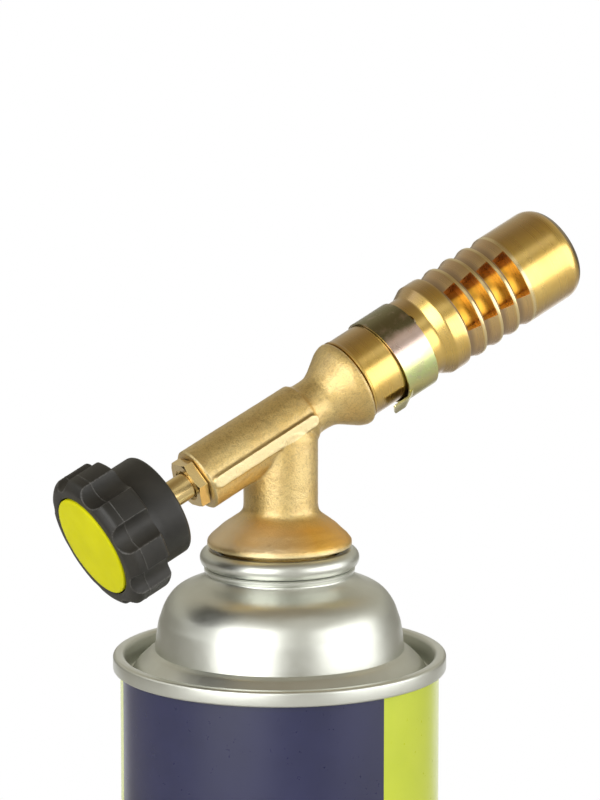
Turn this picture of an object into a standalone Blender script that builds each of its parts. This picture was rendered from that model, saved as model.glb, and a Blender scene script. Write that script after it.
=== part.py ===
"""Gas cartridge torch: a brass torch screwed on a tinplate gas cartridge.

Metres, +Z up. The origin lies on the floor, under the middle of the whole
object; the torch points along +X. Profiles are (radius, height) pairs: for the
cartridge the height is counted from the top of its upper seam, and for pieces
on the burner axis it is counted along that axis from the point where it
crosses the cartridge's own axis, towards the flame.
"""
from math import asin, cos, hypot, pi, radians, sin

import bmesh
import bpy
from mathutils import Matrix, Vector

# Clearances
SEAT = 0.0003            # between pieces that rest on each other
RUN = 0.00035            # around a piece that turns or slides in another
OVERRUN = 0.001          # how far a cutter passes the surface that it cuts

# Cartridge: a tinplate can of 65 mm with a 1 inch valve cup
CAN_HEIGHT = 0.158
CAN_R = 0.03285
CAN_SHEET = 0.0003
END_SHEET = 0.00035
SEAM_PROUD = 0.0015
SEAM_HEIGHT = 0.0032
SEAM_ROUND = 0.0006
COUNTERSINK_DEPTH = 0.005
COUNTERSINK_WIDTH = 0.0017
SHOULDER_WIDTH = 0.0045
SHOULDER_EDGE_DROP = 0.0026
DOME_FOOT_R = 0.0257
DOME_FOOT_Z = 0.001
DOME_NECK_R = 0.0146
DOME_NECK_Z = 0.0166
CURL_HEIGHT = 0.0040
CURL_WIDTH = 0.0026
MOUTH_R = 0.0131
BASE_PANEL_RISE = 0.0085
BASE_PANEL_R = 0.0290

# Valve cup with its threaded boss, 7/16 inch across
CUP_SHEET = 0.00035
CUP_CURL_R = 0.01655
CUP_CURL_FOOT_Z = 0.01745
CUP_CURL_TOP_Z = 0.0224
CUP_WELL_R = 0.01205
CUP_FLOOR_Z = 0.0170
CUP_FLOOR_R = 0.0072
BOSS_R = 0.0055
BOSS_TOP_Z = 0.0264
BOSS_WALL = 0.0011
BOSS_ROOF = 0.0012
BOSS_HOLE_R = 0.0019
CUP_GASKET_WIDTH = 0.0013

# Valve inside the boss
STEM_GASKET_THICKNESS = 0.0010
STEM_R = 0.0013
STEM_COLLAR_R = 0.0025
STEM_COLLAR_HEIGHT = 0.0020
STEM_PRESSED = 0.0018
STEM_TIP_DEPTH = 0.0023
HOUSING_WALL = 0.0010
HOUSING_LENGTH = 0.0145
HOUSING_FLOOR = 0.0012
HOUSING_INLET_R = 0.0009
SPRING_WIRE_R = 0.00022
SPRING_TURNS = 6
SPRING_COIL_POINTS = 9

# Torch body: a brass forging
ARM_TILT = radians(25.25)
CROSSING_Z = 0.04757     # crossing of the two axes, above the upper seam
FORGING_DROP = 0.0003    # how far the arm's skin lies below the bores that were machined in it
COLUMN_R = 0.00765
COLUMN_FOOT_Z = 0.0305
FLANGE_R = 0.0149
FLANGE_EDGE = 0.0009
SKIRT_R = 0.0115
SKIRT_DEPTH = 0.0042
COLUMN_BORE_R = 0.0025
COLUMN_BORE_TOP_Z = 0.0380
COLUMN_PASSAGE_R = 0.0011
ARM_R = 0.00655
ARM_BACK = -0.0216
ARM_FRONT = 0.0053
ARM_CHAMFER = 0.0006
NECK_R = 0.00557
NECK_BACK = 0.0073
NECK_FRONT = 0.0090
FLARE_R = 0.00943
FLARE_EDGE = 0.0008
CUP_FACE = 0.0178
CUP_DEPTH = 0.0030
SPIGOT_R = 0.0070
RIB_HEIGHT = 0.0026
RIB_PROUD = 0.0005
RIB_FRONT = 0.0057
RIB_BACK_MARGIN = 0.0006

# Needle valve in the arm
SPINDLE_R = 0.00305
NEEDLE_R = 0.0017
NEEDLE_TIP_R = 0.0003
NEEDLE_SHOULDER = -0.0039
NEEDLE_TIP = 0.0033
NEEDLE_TAPER = 0.0017
CHAMBER_R = 0.0022
SEAT_HOLE_R = 0.0008
GLAND_BORE_R = 0.0046
GLAND_BORE_FRONT = -0.0093
SPINDLE_O_RING_WIRE_R = 0.00055
SPINDLE_O_RING_R = 0.00370
SPINDLE_GROOVE_R = 0.00275
SPINDLE_TRAVEL_ROOM = 0.0020
PACKING_LENGTH = 0.0022
GLAND_WASHER_THICKNESS = 0.0008
GLAND_NUT_ACROSS_FLATS = 0.0095
GLAND_NUT_HEIGHT = 0.0022
GLAND_NUT_NOSE_R = 0.0050
GLAND_NUT_CHAMFER = 0.0003
GLAND_NUT_ROLL = radians(-3)

# Gas path in the column
BASE_SEAL_WIRE_R = 0.0006
BASE_SEAL_R = 0.0040
PIN_R = 0.0011
PIN_BORE_R = 0.0005
PIN_COLLAR_LENGTH = 0.0045
FILTER_LENGTH = 0.0038

# Jet
JET_TUBE_R = 0.0022
JET_TUBE_BORE_R = 0.0012
JET_TUBE_END = 0.0260
JET_COLLAR_R = 0.0036
JET_COLLAR_LENGTH = 0.0015
JET_SHANK_LENGTH = 0.0035
JET_SHANK_R = 0.0016
JET_ACROSS_FLATS = 0.0070
JET_HEX_LENGTH = 0.0033
JET_NOSE_LENGTH = 0.0018
JET_NOSE_R = 0.0014
JET_HOLE_R = 0.00035

# Burner head: one turned tube with ribs, slots and air holes
TUBE_R = 0.0089
TUBE_EDGE = 0.0002
SPIGOT_BORE_R = 0.0064
SPIGOT_WEB = 0.0015
HEAD_BORE_R = 0.0079
COLLAR_BACK = 0.0367
COLLAR_FRONT = 0.0392
HEAD_R = 0.01026
GROOVES = 4
GROOVE_PITCH = 0.0044
FIRST_GROOVE = 0.0426
GROOVE_LENGTH = 0.0031
GROOVE_DEPTH = 0.0011
NOSE_START = 0.0703
NOSE_ROUND = 0.0043
MOUTH_LIP_R = 0.0072
MOUTH_LIP_DEPTH = 0.0016
SLOT_WIDTH = 0.0026
SLOT_INSET = 0.0003
SLOT_SPAN = radians(62)
SLOT_SETS = 3
HEAD_ROLL = radians(-114)
AIR_HOLE_R = 0.0022
AIR_HOLES = 6
AIR_HOLE_PLACE = 0.0323
AIR_HOLE_ROLL = radians(-137)

# Parts inside the burner head
MIXER_R = 0.0071
MIXER_WALL = 0.0005
MIXER_TAIL = 0.0012
MIXER_FLANGE_INSET = 0.0018
MIXER_FLANGE_LENGTH = 0.0014
HOLDER_THICKNESS = 0.0044
HOLDER_RECESS = 0.0028
HOLDER_BORE_R = 0.0032
HOLDER_PORT_R = 0.0008
HOLDER_PORTS = 8
HOLDER_PORT_CIRCLE_R = 0.0051
HOLDER_NOTCHES = 12
HOLDER_NOTCH_R = 0.0005

# Air clip: a sprung band with a thumb tab
CLIP_SHEET = 0.0005
CLIP_BACK_MEAN = 0.0259
CLIP_BACK_SKEW = 0.00045
CLIP_FRONT_MEAN = 0.03385
CLIP_FRONT_SKEW = 0.0001
CLIP_SKEW_ROLL = radians(-24)
CLIP_GAP_ROLL = radians(100)
CLIP_GAP_SPAN = radians(20)
CLIP_TAB_FROM = radians(-50)
CLIP_TAB_TO = radians(0)
CLIP_TAB_RISE = 0.0010
CLIP_TAB_JOGGLE = 0.0014
CLIP_TAB_END = 0.0222

# Knob
KNOB_R = 0.0147
KNOB_FRONT = -0.0482
KNOB_BACK = -0.0388
KNOB_FACE_R = 0.0130
KNOB_BEVEL = 0.0017
KNOB_EDGE = 0.0006
LOBES = 8
LOBE_ROLL = radians(-126.6)
SCALLOP_DEPTH = 0.0020
SCALLOP_R = 0.0037
HUB_R = 0.01103
HUB_BACK = -0.0310
HUB_ROUND = 0.0008
CAP_R = 0.01083
CAP_THICKNESS = 0.0016
CAP_CROWN = 0.0004
KNOB_POCKET_R = 0.0062
KNOB_POCKET_DEPTH = 0.0038
SPINDLE_END_R = 0.0023
SPINDLE_SHOULDER = -0.0330
SPINDLE_END = -0.0420
KNOB_SCREW_R = 0.0012
KNOB_SCREW_HEAD_R = 0.0030
KNOB_SCREW_HEAD_HEIGHT = 0.0015
KNOB_SCREW_LENGTH = 0.0050
KNOB_WASHER_R = 0.0050
KNOB_WASHER_THICKNESS = 0.0008

# Steps around a turned piece
CAN_STEPS = 32
CUP_STEPS = 24
TORCH_STEPS = 24
SMALL_STEPS = 16
CLIP_STEPS = 36
O_RING_SIDES = 6

# Shapes of outlines, as shares of the sizes that they follow
# (share of the way from neck to foot, share of the height from foot to neck)
DOME_SHARES = ((0.965, 0.10), (0.93, 0.35), (0.89, 0.44), (0.80, 0.60), (0.69, 0.72), (0.57, 0.80), (0.27, 0.90))
# (share of the curl's width outwards from the mouth, share of its height)
CAN_CURL_SHARES = ((-0.02, 0.25), (0.0, 0.62), (0.12, 0.85), (0.42, 1.0), (0.75, 0.90), (0.95, 0.68), (0.92, 0.42),
                   (0.76, 0.28))
# (share of the way from well to curl, share of the curl's height)
CUP_CURL_SHARES = ((0.88, 0.0), (0.99, 0.17), (1.0, 0.5), (0.94, 0.76), (0.77, 0.95), (0.52, 1.0), (0.26, 0.95),
                   (0.06, 0.78), (0.0, 0.55), (0.0, 0.1), (-0.12, -0.06))
# (share of the way from column to flange edge, share of the fillet's height)
FLANGE_SHARES = ((0.0, 1.0), (0.03, 0.90), (0.10, 0.82), (0.22, 0.74), (0.35, 0.65), (0.47, 0.56), (0.60, 0.47),
                 (0.77, 0.34), (0.87, 0.26), (0.96, 0.16), (1.0, 0.06))
# (share of the column's radius, share of the way from the column's shoulder to the crossing)
COLUMN_TOP_SHARES = ((1.0, 0.0), (0.985, 0.35), (0.93, 0.75), (0.84, 1.15), (0.6, 1.7), (0.0, 2.1))
COLUMN_SHOULDER_SHARE = 0.35
# (share of the way from neck radius to flare radius, share of the way from neck to the cup's face)
FLARE_SHARES = ((0.034, 0.114), (0.117, 0.227), (0.256, 0.347), (0.505, 0.523), (0.681, 0.642), (0.842, 0.75),
                (0.94, 0.841), (1.0, 0.92))
# (share of the way from neck radius to arm radius, share of the way from neck to the arm's end)
ARM_TO_NECK_SHARES = ((1.0, 1.0), (0.80, 0.72), (0.30, 0.30), (0.0, 0.0))
# (share of a groove's length from its steep back wall, share of its depth)
GROOVE_SHARES = ((0.0, 0.0), (0.13, 1.0), (0.88, 0.1), (1.0, 0.0))
PANEL_SHARES = ((1.0, 0.55), (0.9, 0.72), (0.6, 0.90), (0.3, 0.98), (0.0, 1.0))
CAP_SHARES = ((1.0, 0.0), (0.9, 0.35), (0.6, 0.75), (0.3, 0.95), (0.0, 1.0))

# Values that follow from the sizes above
SEAM_R = CAN_R + SEAM_PROUD
CHUCK_OUT_R = CAN_R - CAN_SHEET - SEAT
CHUCK_R = CHUCK_OUT_R - END_SHEET
BOSS_ROOF_Z = BOSS_TOP_Z - BOSS_ROOF
BOSS_BORE_R = BOSS_R - BOSS_WALL
STEM_GASKET_TOP = BOSS_ROOF_Z - SEAT
STEM_GASKET_FOOT = STEM_GASKET_TOP - STEM_GASKET_THICKNESS
HOUSING_R = BOSS_BORE_R - SEAT
HOUSING_TOP = STEM_GASKET_FOOT - SEAT
HOUSING_FOOT = HOUSING_TOP - HOUSING_LENGTH
STEM_COLLAR_TOP = HOUSING_TOP - STEM_PRESSED
STEM_COLLAR_FOOT = STEM_COLLAR_TOP - STEM_COLLAR_HEIGHT
STEM_TIP = BOSS_TOP_Z - STEM_TIP_DEPTH
FLANGE_FOOT = CUP_CURL_TOP_Z + SEAT
SOCKET_R = BOSS_R + SEAT
SOCKET_ROOF = BOSS_TOP_Z + SEAT + 2 * BASE_SEAL_WIRE_R + SEAT
CUP_BORE_R = SPIGOT_R + SEAT
CUP_FLOOR = CUP_FACE - CUP_DEPTH
SEAT_PLACE = NEEDLE_TIP + SEAT
CLIP_R = TUBE_R + RUN + CLIP_SHEET / 2
KNOB_CAP_POCKET_R = CAP_R + SEAT
KNOB_CAP_SHELF = KNOB_FRONT + CAP_THICKNESS + SEAT
KNOB_WEB = KNOB_CAP_SHELF + KNOB_POCKET_DEPTH


def between(start, end, share):
    """The value that lies a share of the way from start to end."""
    return start + (end - start) * share


def arc(centre, radius, first, last, points):
    """Points of a circular arc in a profile, from angle first to angle last."""
    steps = points - 1
    return [(centre[0] + radius * cos(between(first, last, i / steps)),
             centre[1] + radius * sin(between(first, last, i / steps))) for i in range(points)]


def offset_left(line, distance):
    """The line moved to its own left by a distance, with mitred corners."""
    normals = []
    for (x0, y0), (x1, y1) in zip(line, line[1:]):
        length = hypot(x1 - x0, y1 - y0)
        normals.append((-(y1 - y0) / length, (x1 - x0) / length))
    moved = []
    for i, (x, y) in enumerate(line):
        before = normals[max(i - 1, 0)]
        after = normals[min(i, len(normals) - 1)]
        mitre = 1 + before[0] * after[0] + before[1] * after[1]
        moved.append((x + (before[0] + after[0]) * distance / mitre, y + (before[1] + after[1]) * distance / mitre))
    return moved


def clockwise(profile):
    """The profile's points in the order that turns a solid's faces outwards."""
    area = sum(x0 * y1 - x1 * y0 for (x0, y0), (x1, y1) in zip(profile, profile[1:] + profile[:1]))
    return profile if area < 0 else profile[::-1]


def clear_scene():
    for item in list(bpy.data.objects):
        bpy.data.objects.remove(item)


def make_collection(name):
    group = bpy.data.collections.new(name)
    bpy.context.scene.collection.children.link(group)
    return group


def make_material(name, colour, roughness, metallic):
    made = bpy.data.materials.new(name)
    made.use_nodes = True
    made.diffuse_color = (*colour, 1)
    shader = made.node_tree.nodes["Principled BSDF"]
    shader.inputs["Base Color"].default_value = (*colour, 1)
    shader.inputs["Roughness"].default_value = roughness
    shader.inputs["Metallic"].default_value = metallic
    return made


def shade_evenly(item):
    """Shades a cut or joined piece by the size of its faces, as its last modifier."""
    item.modifiers.new("shading", "WEIGHTED_NORMAL")


def place(item, carrier, material, group):
    """Gives an object its carrier, its material and its collection."""
    item.parent = carrier
    item.data.materials.append(material)
    for holder in list(item.users_collection):
        holder.objects.unlink(item)
    group.objects.link(item)
    return item


def make_axis(name, location, tilt=0.0, carrier=None):
    """An empty whose local Z is the axis of the pieces on it."""
    empty = bpy.data.objects.new(name, None)
    empty.location = location
    empty.rotation_euler = (0, tilt, 0)
    empty.parent = carrier
    empty.empty_display_size = FLANGE_R
    PARTS.objects.link(empty)
    return empty


def turned(name, profile, steps, carrier, material, group=None, on_axis=False):
    """A turned solid: a closed profile, or one whose two ends lie on the axis."""
    points = clockwise(profile)
    if on_axis:
        start = next(i for i, (r, z) in enumerate(points) if r == 0 and points[i - 1][0] == 0)
        points = points[start:] + points[:start]
    mesh = bpy.data.meshes.new(name)
    shape = bmesh.new()
    corners = [shape.verts.new((r, 0, z)) for r, z in points]
    for first, second in zip(corners, corners[1:]):
        shape.edges.new((first, second))
    if not on_axis:
        shape.edges.new((corners[-1], corners[0]))
    shape.to_mesh(mesh)
    shape.free()
    item = bpy.data.objects.new(name, mesh)
    screw = item.modifiers.new("turn", "SCREW")
    screw.steps = steps
    screw.render_steps = steps
    screw.use_merge_vertices = True
    screw.merge_threshold = OVERRUN / 1000
    screw.use_smooth_shade = True
    return place(item, carrier, material, group or PARTS)


def cutter_look(item):
    item.hide_render = True
    item.display_type = "WIRE"
    return item


def boolean(item, other, operation):
    """Adds an exact Boolean with another object, which becomes a wire guide."""
    cut = item.modifiers.new(other.name, "BOOLEAN")
    cut.operation = operation
    cut.solver = "EXACT"
    cut.object = other
    cutter_look(other)


def cylinder(name, radius, length, centre, carrier, steps, roll_axis=None):
    """A cylinder cutter along its carrier's Z, or along another direction given as a rotation."""
    mesh = bpy.data.meshes.new(name)
    shape = bmesh.new()
    bmesh.ops.create_cone(shape, cap_ends=True, segments=steps, radius1=radius, radius2=radius, depth=length)
    bmesh.ops.transform(shape, matrix=roll_axis or Matrix(), verts=shape.verts)
    bmesh.ops.translate(shape, vec=centre, verts=shape.verts)
    shape.to_mesh(mesh)
    shape.free()
    item = bpy.data.objects.new(name, mesh)
    return place(item, carrier, CUTTER_LOOK, CUTTERS)


def joined(name, items, carrier):
    """One cutter made of several separate ones that share a carrier."""
    shape = bmesh.new()
    for item in items:
        shape.from_mesh(item.data)
    mesh = bpy.data.meshes.new(name)
    shape.to_mesh(mesh)
    shape.free()
    for item in items:
        bpy.data.objects.remove(item)
    return place(bpy.data.objects.new(name, mesh), carrier, CUTTER_LOOK, CUTTERS)


def prism(name, across_flats, start, end, roll, carrier, group):
    """A hexagonal prism along its carrier's Z."""
    mesh = bpy.data.meshes.new(name)
    shape = bmesh.new()
    corner_r = across_flats / 2 / cos(pi / 6)
    bmesh.ops.create_cone(shape, cap_ends=True, segments=6, radius1=corner_r, radius2=corner_r, depth=end - start)
    bmesh.ops.rotate(shape, matrix=Matrix.Rotation(roll, 3, "Z"), verts=shape.verts)
    bmesh.ops.translate(shape, vec=(0, 0, (start + end) / 2), verts=shape.verts)
    shape.to_mesh(mesh)
    shape.free()
    return place(bpy.data.objects.new(name, mesh), carrier, CUTTER_LOOK, group)


def ring(name, inner, outer, foot, top, steps, carrier, material, group=None):
    return turned(name, [(inner, foot), (outer, foot), (outer, top), (inner, top)], steps, carrier, material, group)


def o_ring(name, radius, wire_r, height, steps, carrier, material):
    section = arc((radius, height), wire_r, 0, 2 * pi, O_RING_SIDES + 1)[:-1]
    return turned(name, section, steps, carrier, material)


def seam_outline(plane, up):
    """The folded seam round the can's wall: its outer side and the pocket that the wall stands in."""
    edge_z = plane - up * SEAM_ROUND
    foot_z = plane - up * SEAM_HEIGHT
    hook_r = CAN_R + SEAT
    turn = SEAM_ROUND * (1 - cos(pi / 4))
    outside = [(hook_r, foot_z), (SEAM_R, foot_z), (SEAM_R, edge_z), (SEAM_R - turn, plane - up * turn),
               (SEAM_R - SEAM_ROUND, plane), (CHUCK_R + SEAM_ROUND, plane), (CHUCK_R + turn, plane - up * turn)]
    pocket = [(CHUCK_OUT_R, plane - up * END_SHEET), (hook_r, plane - up * END_SHEET)]
    return outside, pocket, (CHUCK_R, edge_z)


def make_can_body():
    """The printed wall of the can, a rolled and welded tube."""
    inset = END_SHEET + SEAT
    ring("can_body", CAN_R - CAN_SHEET, CAN_R, inset, CAN_HEIGHT - inset, CAN_STEPS, FLOOR_AXIS, PRINT)


def dome_line():
    """The outside of the upper end, from the seam over shoulder and dome to the rolled mouth."""
    outside, pocket, start = seam_outline(0, 1)
    gully_r = CHUCK_R - COUNTERSINK_WIDTH
    shoulder_r = gully_r - OVERRUN / 2
    line = [start, (CHUCK_R - END_SHEET, -COUNTERSINK_DEPTH + END_SHEET), (between(CHUCK_R, gully_r, 0.5),
            -COUNTERSINK_DEPTH), (gully_r, -COUNTERSINK_DEPTH + END_SHEET), (shoulder_r, -SHOULDER_EDGE_DROP),
            (between(shoulder_r, DOME_FOOT_R, 0.2), between(-SHOULDER_EDGE_DROP, DOME_FOOT_Z, 0.35)),
            (DOME_FOOT_R, DOME_FOOT_Z)]
    line += [(between(DOME_NECK_R, DOME_FOOT_R, out), between(DOME_FOOT_Z, DOME_NECK_Z, up))
             for out, up in DOME_SHARES]
    line.append((DOME_NECK_R, DOME_NECK_Z))
    line += [(MOUTH_R + CURL_WIDTH * out, DOME_NECK_Z + CURL_HEIGHT * up) for out, up in CAN_CURL_SHARES]
    return outside, pocket, line


def make_can_dome():
    outside, pocket, line = dome_line()
    profile = outside + line + offset_left(line, END_SHEET)[::-1] + pocket
    turned("can_dome", profile, CAN_STEPS, SEAM_AXIS, TINPLATE)


def make_can_bottom():
    """The lower end: the seam that the can stands on and a panel pressed inwards."""
    outside, pocket, start = seam_outline(0, -1)
    line = [start, (CHUCK_R - END_SHEET, COUNTERSINK_DEPTH - END_SHEET)]
    line += [(BASE_PANEL_R * out, BASE_PANEL_RISE * up) for out, up in PANEL_SHARES]
    back = offset_left(line, -END_SHEET)[::-1]
    back[0] = (0, back[0][1])
    turned("can_bottom", outside + line + back + pocket, CAN_STEPS, FLOOR_AXIS, TINPLATE, on_axis=True)


def make_valve_cup():
    """The mounting cup: a curl clinched over the can's mouth, a well, and the threaded boss."""
    line = [(between(CUP_WELL_R, CUP_CURL_R, out), between(CUP_CURL_FOOT_Z, CUP_CURL_TOP_Z, up))
            for out, up in CUP_CURL_SHARES]
    line += [(CUP_WELL_R - 3 * CUP_SHEET, CUP_FLOOR_Z), (CUP_FLOOR_R, CUP_FLOOR_Z)]
    edge = CUP_SHEET
    boss = [(BOSS_R, CUP_FLOOR_Z + edge), (BOSS_R, BOSS_TOP_Z - edge), (BOSS_R - edge, BOSS_TOP_Z),
            (BOSS_HOLE_R, BOSS_TOP_Z), (BOSS_HOLE_R, BOSS_ROOF_Z), (BOSS_BORE_R, BOSS_ROOF_Z),
            (BOSS_BORE_R, CUP_FLOOR_Z - CUP_SHEET)]
    turned("valve_cup", line + boss + offset_left(line, CUP_SHEET)[::-1], CUP_STEPS, SEAM_AXIS, TINPLATE)


def make_cup_gasket():
    """The rubber ring squeezed between the cup's curl and the can's curl."""
    top = CUP_CURL_TOP_Z - CUP_SHEET - SEAT
    foot = DOME_NECK_Z + CURL_HEIGHT + END_SHEET + SEAT
    middle = between(CUP_WELL_R, CUP_CURL_R, 0.5)
    half = CUP_GASKET_WIDTH / 2
    ring("cup_gasket", middle - half, middle + half, foot, top, CUP_STEPS, SEAM_AXIS, RUBBER)


def make_cartridge_valve():
    """Gasket, housing, stem and spring of the valve inside the threaded boss."""
    ring("stem_gasket", STEM_R + RUN, BOSS_BORE_R - SEAT, STEM_GASKET_FOOT, STEM_GASKET_TOP, SMALL_STEPS,
         SEAM_AXIS, RUBBER)
    bore = HOUSING_R - HOUSING_WALL
    floor = HOUSING_FOOT + HOUSING_FLOOR
    housing = [(HOUSING_R, HOUSING_TOP), (HOUSING_R, HOUSING_FOOT), (HOUSING_INLET_R, HOUSING_FOOT),
               (HOUSING_INLET_R, floor), (bore, floor), (bore, HOUSING_TOP)]
    turned("valve_housing", housing, SMALL_STEPS, SEAM_AXIS, WHITE_PLASTIC)
    guide_foot = between(STEM_COLLAR_FOOT, floor, 0.4)
    guide_r = STEM_R
    stem = [(0, STEM_TIP), (STEM_R, STEM_TIP), (STEM_R, STEM_COLLAR_TOP), (STEM_COLLAR_R, STEM_COLLAR_TOP),
            (STEM_COLLAR_R, STEM_COLLAR_FOOT), (guide_r, STEM_COLLAR_FOOT), (guide_r, guide_foot), (0, guide_foot)]
    turned("valve_stem", stem, SMALL_STEPS, SEAM_AXIS, WHITE_PLASTIC, on_axis=True)
    make_valve_spring(guide_r + SEAT + SPRING_WIRE_R, floor, STEM_COLLAR_FOOT)


def make_valve_spring(coil_r, floor, ceiling):
    """A coil spring from the housing's floor to the stem's collar, one unbroken wire."""
    foot = floor + SEAT + SPRING_WIRE_R
    top = ceiling - SEAT - SPRING_WIRE_R
    count = SPRING_TURNS * SPRING_COIL_POINTS
    route = []
    for i in range(count + 1):
        angle = 2 * pi * i / SPRING_COIL_POINTS
        route.append(Vector((coil_r * cos(angle), coil_r * sin(angle), between(foot, top, i / count))))
    least = (top - foot) / SPRING_TURNS - 2 * SPRING_WIRE_R
    print(f"valve_spring: least gap between turns {least * 1000:.2f} mm")
    curve = bpy.data.curves.new("valve_spring_route", "CURVE")
    curve.dimensions = "3D"
    curve.bevel_depth = SPRING_WIRE_R
    curve.bevel_resolution = 1
    curve.use_fill_caps = True
    spline = curve.splines.new("POLY")
    spline.points.add(len(route) - 1)
    for point, spot in zip(spline.points, route):
        point.co = (*spot, 1)
    place(bpy.data.objects.new("valve_spring", curve), SEAM_AXIS, STEEL, PARTS)


def make_base_seal():
    """The ring that seals the torch's socket on the top of the boss."""
    o_ring("base_seal", BASE_SEAL_R, BASE_SEAL_WIRE_R, BOSS_TOP_Z + SEAT + BASE_SEAL_WIRE_R, SMALL_STEPS, SEAM_AXIS,
           RUBBER)


def column_outline():
    """The column with its flange and machined skirt; its round top ends inside the arm."""
    skirt_foot = FLANGE_FOOT - SKIRT_DEPTH
    edge = FLANGE_EDGE / 2
    lip_z = FLANGE_FOOT + FLANGE_EDGE
    points = [(0, skirt_foot), (SKIRT_R - edge, skirt_foot), (SKIRT_R, skirt_foot + edge), (SKIRT_R, FLANGE_FOOT),
              (FLANGE_R - edge, FLANGE_FOOT), (FLANGE_R, FLANGE_FOOT + edge)]
    points += [(between(COLUMN_R, FLANGE_R, out), between(lip_z, COLUMN_FOOT_Z, up))
               for out, up in FLANGE_SHARES[::-1]]
    shoulder = CROSSING_Z - COLUMN_R * COLUMN_SHOULDER_SHARE
    points += [(COLUMN_R * out, between(shoulder, CROSSING_Z, up)) for out, up in COLUMN_TOP_SHARES]
    return points


def arm_outline():
    """The arm, the neck and the flared cup, as one outline along the burner axis."""
    points = [(0, ARM_BACK), (ARM_R - ARM_CHAMFER, ARM_BACK), (ARM_R, ARM_BACK + ARM_CHAMFER)]
    points += [(between(NECK_R, ARM_R, out), between(NECK_BACK, ARM_FRONT, up)) for out, up in ARM_TO_NECK_SHARES]
    points.append((NECK_R, NECK_FRONT))
    points += [(between(NECK_R, FLARE_R, out), between(NECK_FRONT, CUP_FACE, up)) for out, up in FLARE_SHARES]
    points += [(FLARE_R - FLARE_EDGE / 2, CUP_FACE - FLARE_EDGE / 5), (FLARE_R - FLARE_EDGE, CUP_FACE),
               (0, CUP_FACE)]
    return points


def make_rib():
    """A bar with round ends along the forging's parting line, standing proud on both sides of the arm."""
    half = RIB_HEIGHT / 2
    back = ARM_BACK + RIB_BACK_MARGIN + half
    front = RIB_FRONT - half
    outline = arc((0, front), half, 0, pi, 7) + arc((0, back), half, pi, 2 * pi, 7)
    curve = bpy.data.curves.new("rib_outline", "CURVE")
    curve.dimensions = "2D"
    curve.fill_mode = "BOTH"
    curve.extrude = ARM_R + RIB_PROUD
    spline = curve.splines.new("POLY")
    spline.use_cyclic_u = True
    spline.points.add(len(outline) - 1)
    for point, (x, z) in zip(spline.points, outline):
        point.co = (x, z, 0, 1)
    flat = bpy.data.objects.new("rib_curve", curve)
    CUTTERS.objects.link(flat)
    bpy.context.view_layer.update()
    mesh = bpy.data.meshes.new_from_object(flat.evaluated_get(bpy.context.evaluated_depsgraph_get()))
    bpy.data.objects.remove(flat)
    shape = bmesh.new()
    shape.from_mesh(mesh)
    bmesh.ops.remove_doubles(shape, verts=shape.verts, dist=OVERRUN / 1000)
    bmesh.ops.rotate(shape, matrix=Matrix.Rotation(pi / 2, 3, "X"), verts=shape.verts)
    shape.to_mesh(mesh)
    shape.free()
    return place(bpy.data.objects.new("rib", mesh), FORGING_AXIS, CUTTER_LOOK, CUTTERS)


def make_torch_body():
    """The forging: column, arm, neck and cup in one piece, then drilled and bored."""
    body = turned("torch_body", arm_outline(), TORCH_STEPS, FORGING_AXIS, FORGED_BRASS, on_axis=True)
    column = turned("column", column_outline(), TORCH_STEPS, SEAM_AXIS, CUTTER_LOOK, CUTTERS, on_axis=True)
    boolean(body, column, "UNION")
    boolean(body, make_rib(), "UNION")
    bore = [(0, ARM_BACK - OVERRUN), (GLAND_BORE_R, ARM_BACK - OVERRUN), (GLAND_BORE_R, GLAND_BORE_FRONT),
            (SPINDLE_R + RUN, GLAND_BORE_FRONT), (SPINDLE_R + RUN, NEEDLE_SHOULDER + SEAT),
            (CHAMBER_R, NEEDLE_SHOULDER + SEAT), (CHAMBER_R, SEAT_PLACE - CHAMBER_R + SEAT_HOLE_R),
            (SEAT_HOLE_R, SEAT_PLACE), (SEAT_HOLE_R, NECK_FRONT - OVERRUN), (JET_TUBE_R + SEAT, NECK_FRONT - OVERRUN),
            (JET_TUBE_R + SEAT, CUP_FLOOR), (CUP_BORE_R, CUP_FLOOR), (CUP_BORE_R, CUP_FACE + OVERRUN),
            (0, CUP_FACE + OVERRUN)]
    boolean(body, turned("arm_bore", bore, TORCH_STEPS, BURNER_AXIS, CUTTER_LOOK, CUTTERS, on_axis=True),
            "DIFFERENCE")
    skirt_foot = FLANGE_FOOT - SKIRT_DEPTH
    socket = [(0, skirt_foot - OVERRUN), (SOCKET_R, skirt_foot - OVERRUN), (SOCKET_R, SOCKET_ROOF),
              (COLUMN_BORE_R, SOCKET_ROOF), (COLUMN_BORE_R, COLUMN_BORE_TOP_Z),
              (COLUMN_PASSAGE_R, COLUMN_BORE_TOP_Z), (COLUMN_PASSAGE_R, CROSSING_Z - NEEDLE_R),
              (0, CROSSING_Z - NEEDLE_R)]
    boolean(body, turned("column_bore", socket, TORCH_STEPS, SEAM_AXIS, CUTTER_LOOK, CUTTERS, on_axis=True),
            "DIFFERENCE")


def make_gas_path():
    """The pin that presses the cartridge's valve open, and the filter above it."""
    tip = STEM_TIP + SEAT
    collar_foot = SOCKET_ROOF + SEAT
    collar_r = COLUMN_BORE_R - SEAT
    collar_top = collar_foot + PIN_COLLAR_LENGTH
    pin = [(PIN_BORE_R, tip), (PIN_R, tip), (PIN_R, collar_foot), (collar_r, collar_foot), (collar_r, collar_top),
           (PIN_BORE_R, collar_top)]
    turned("depressor_pin", pin, SMALL_STEPS, SEAM_AXIS, TURNED_BRASS)
    filter_top = COLUMN_BORE_TOP_Z - SEAT
    plug = [(0, filter_top), (collar_r, filter_top), (collar_r, filter_top - FILTER_LENGTH),
            (0, filter_top - FILTER_LENGTH)]
    turned("gas_filter", plug, SMALL_STEPS, SEAM_AXIS, BRONZE, on_axis=True)


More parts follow.
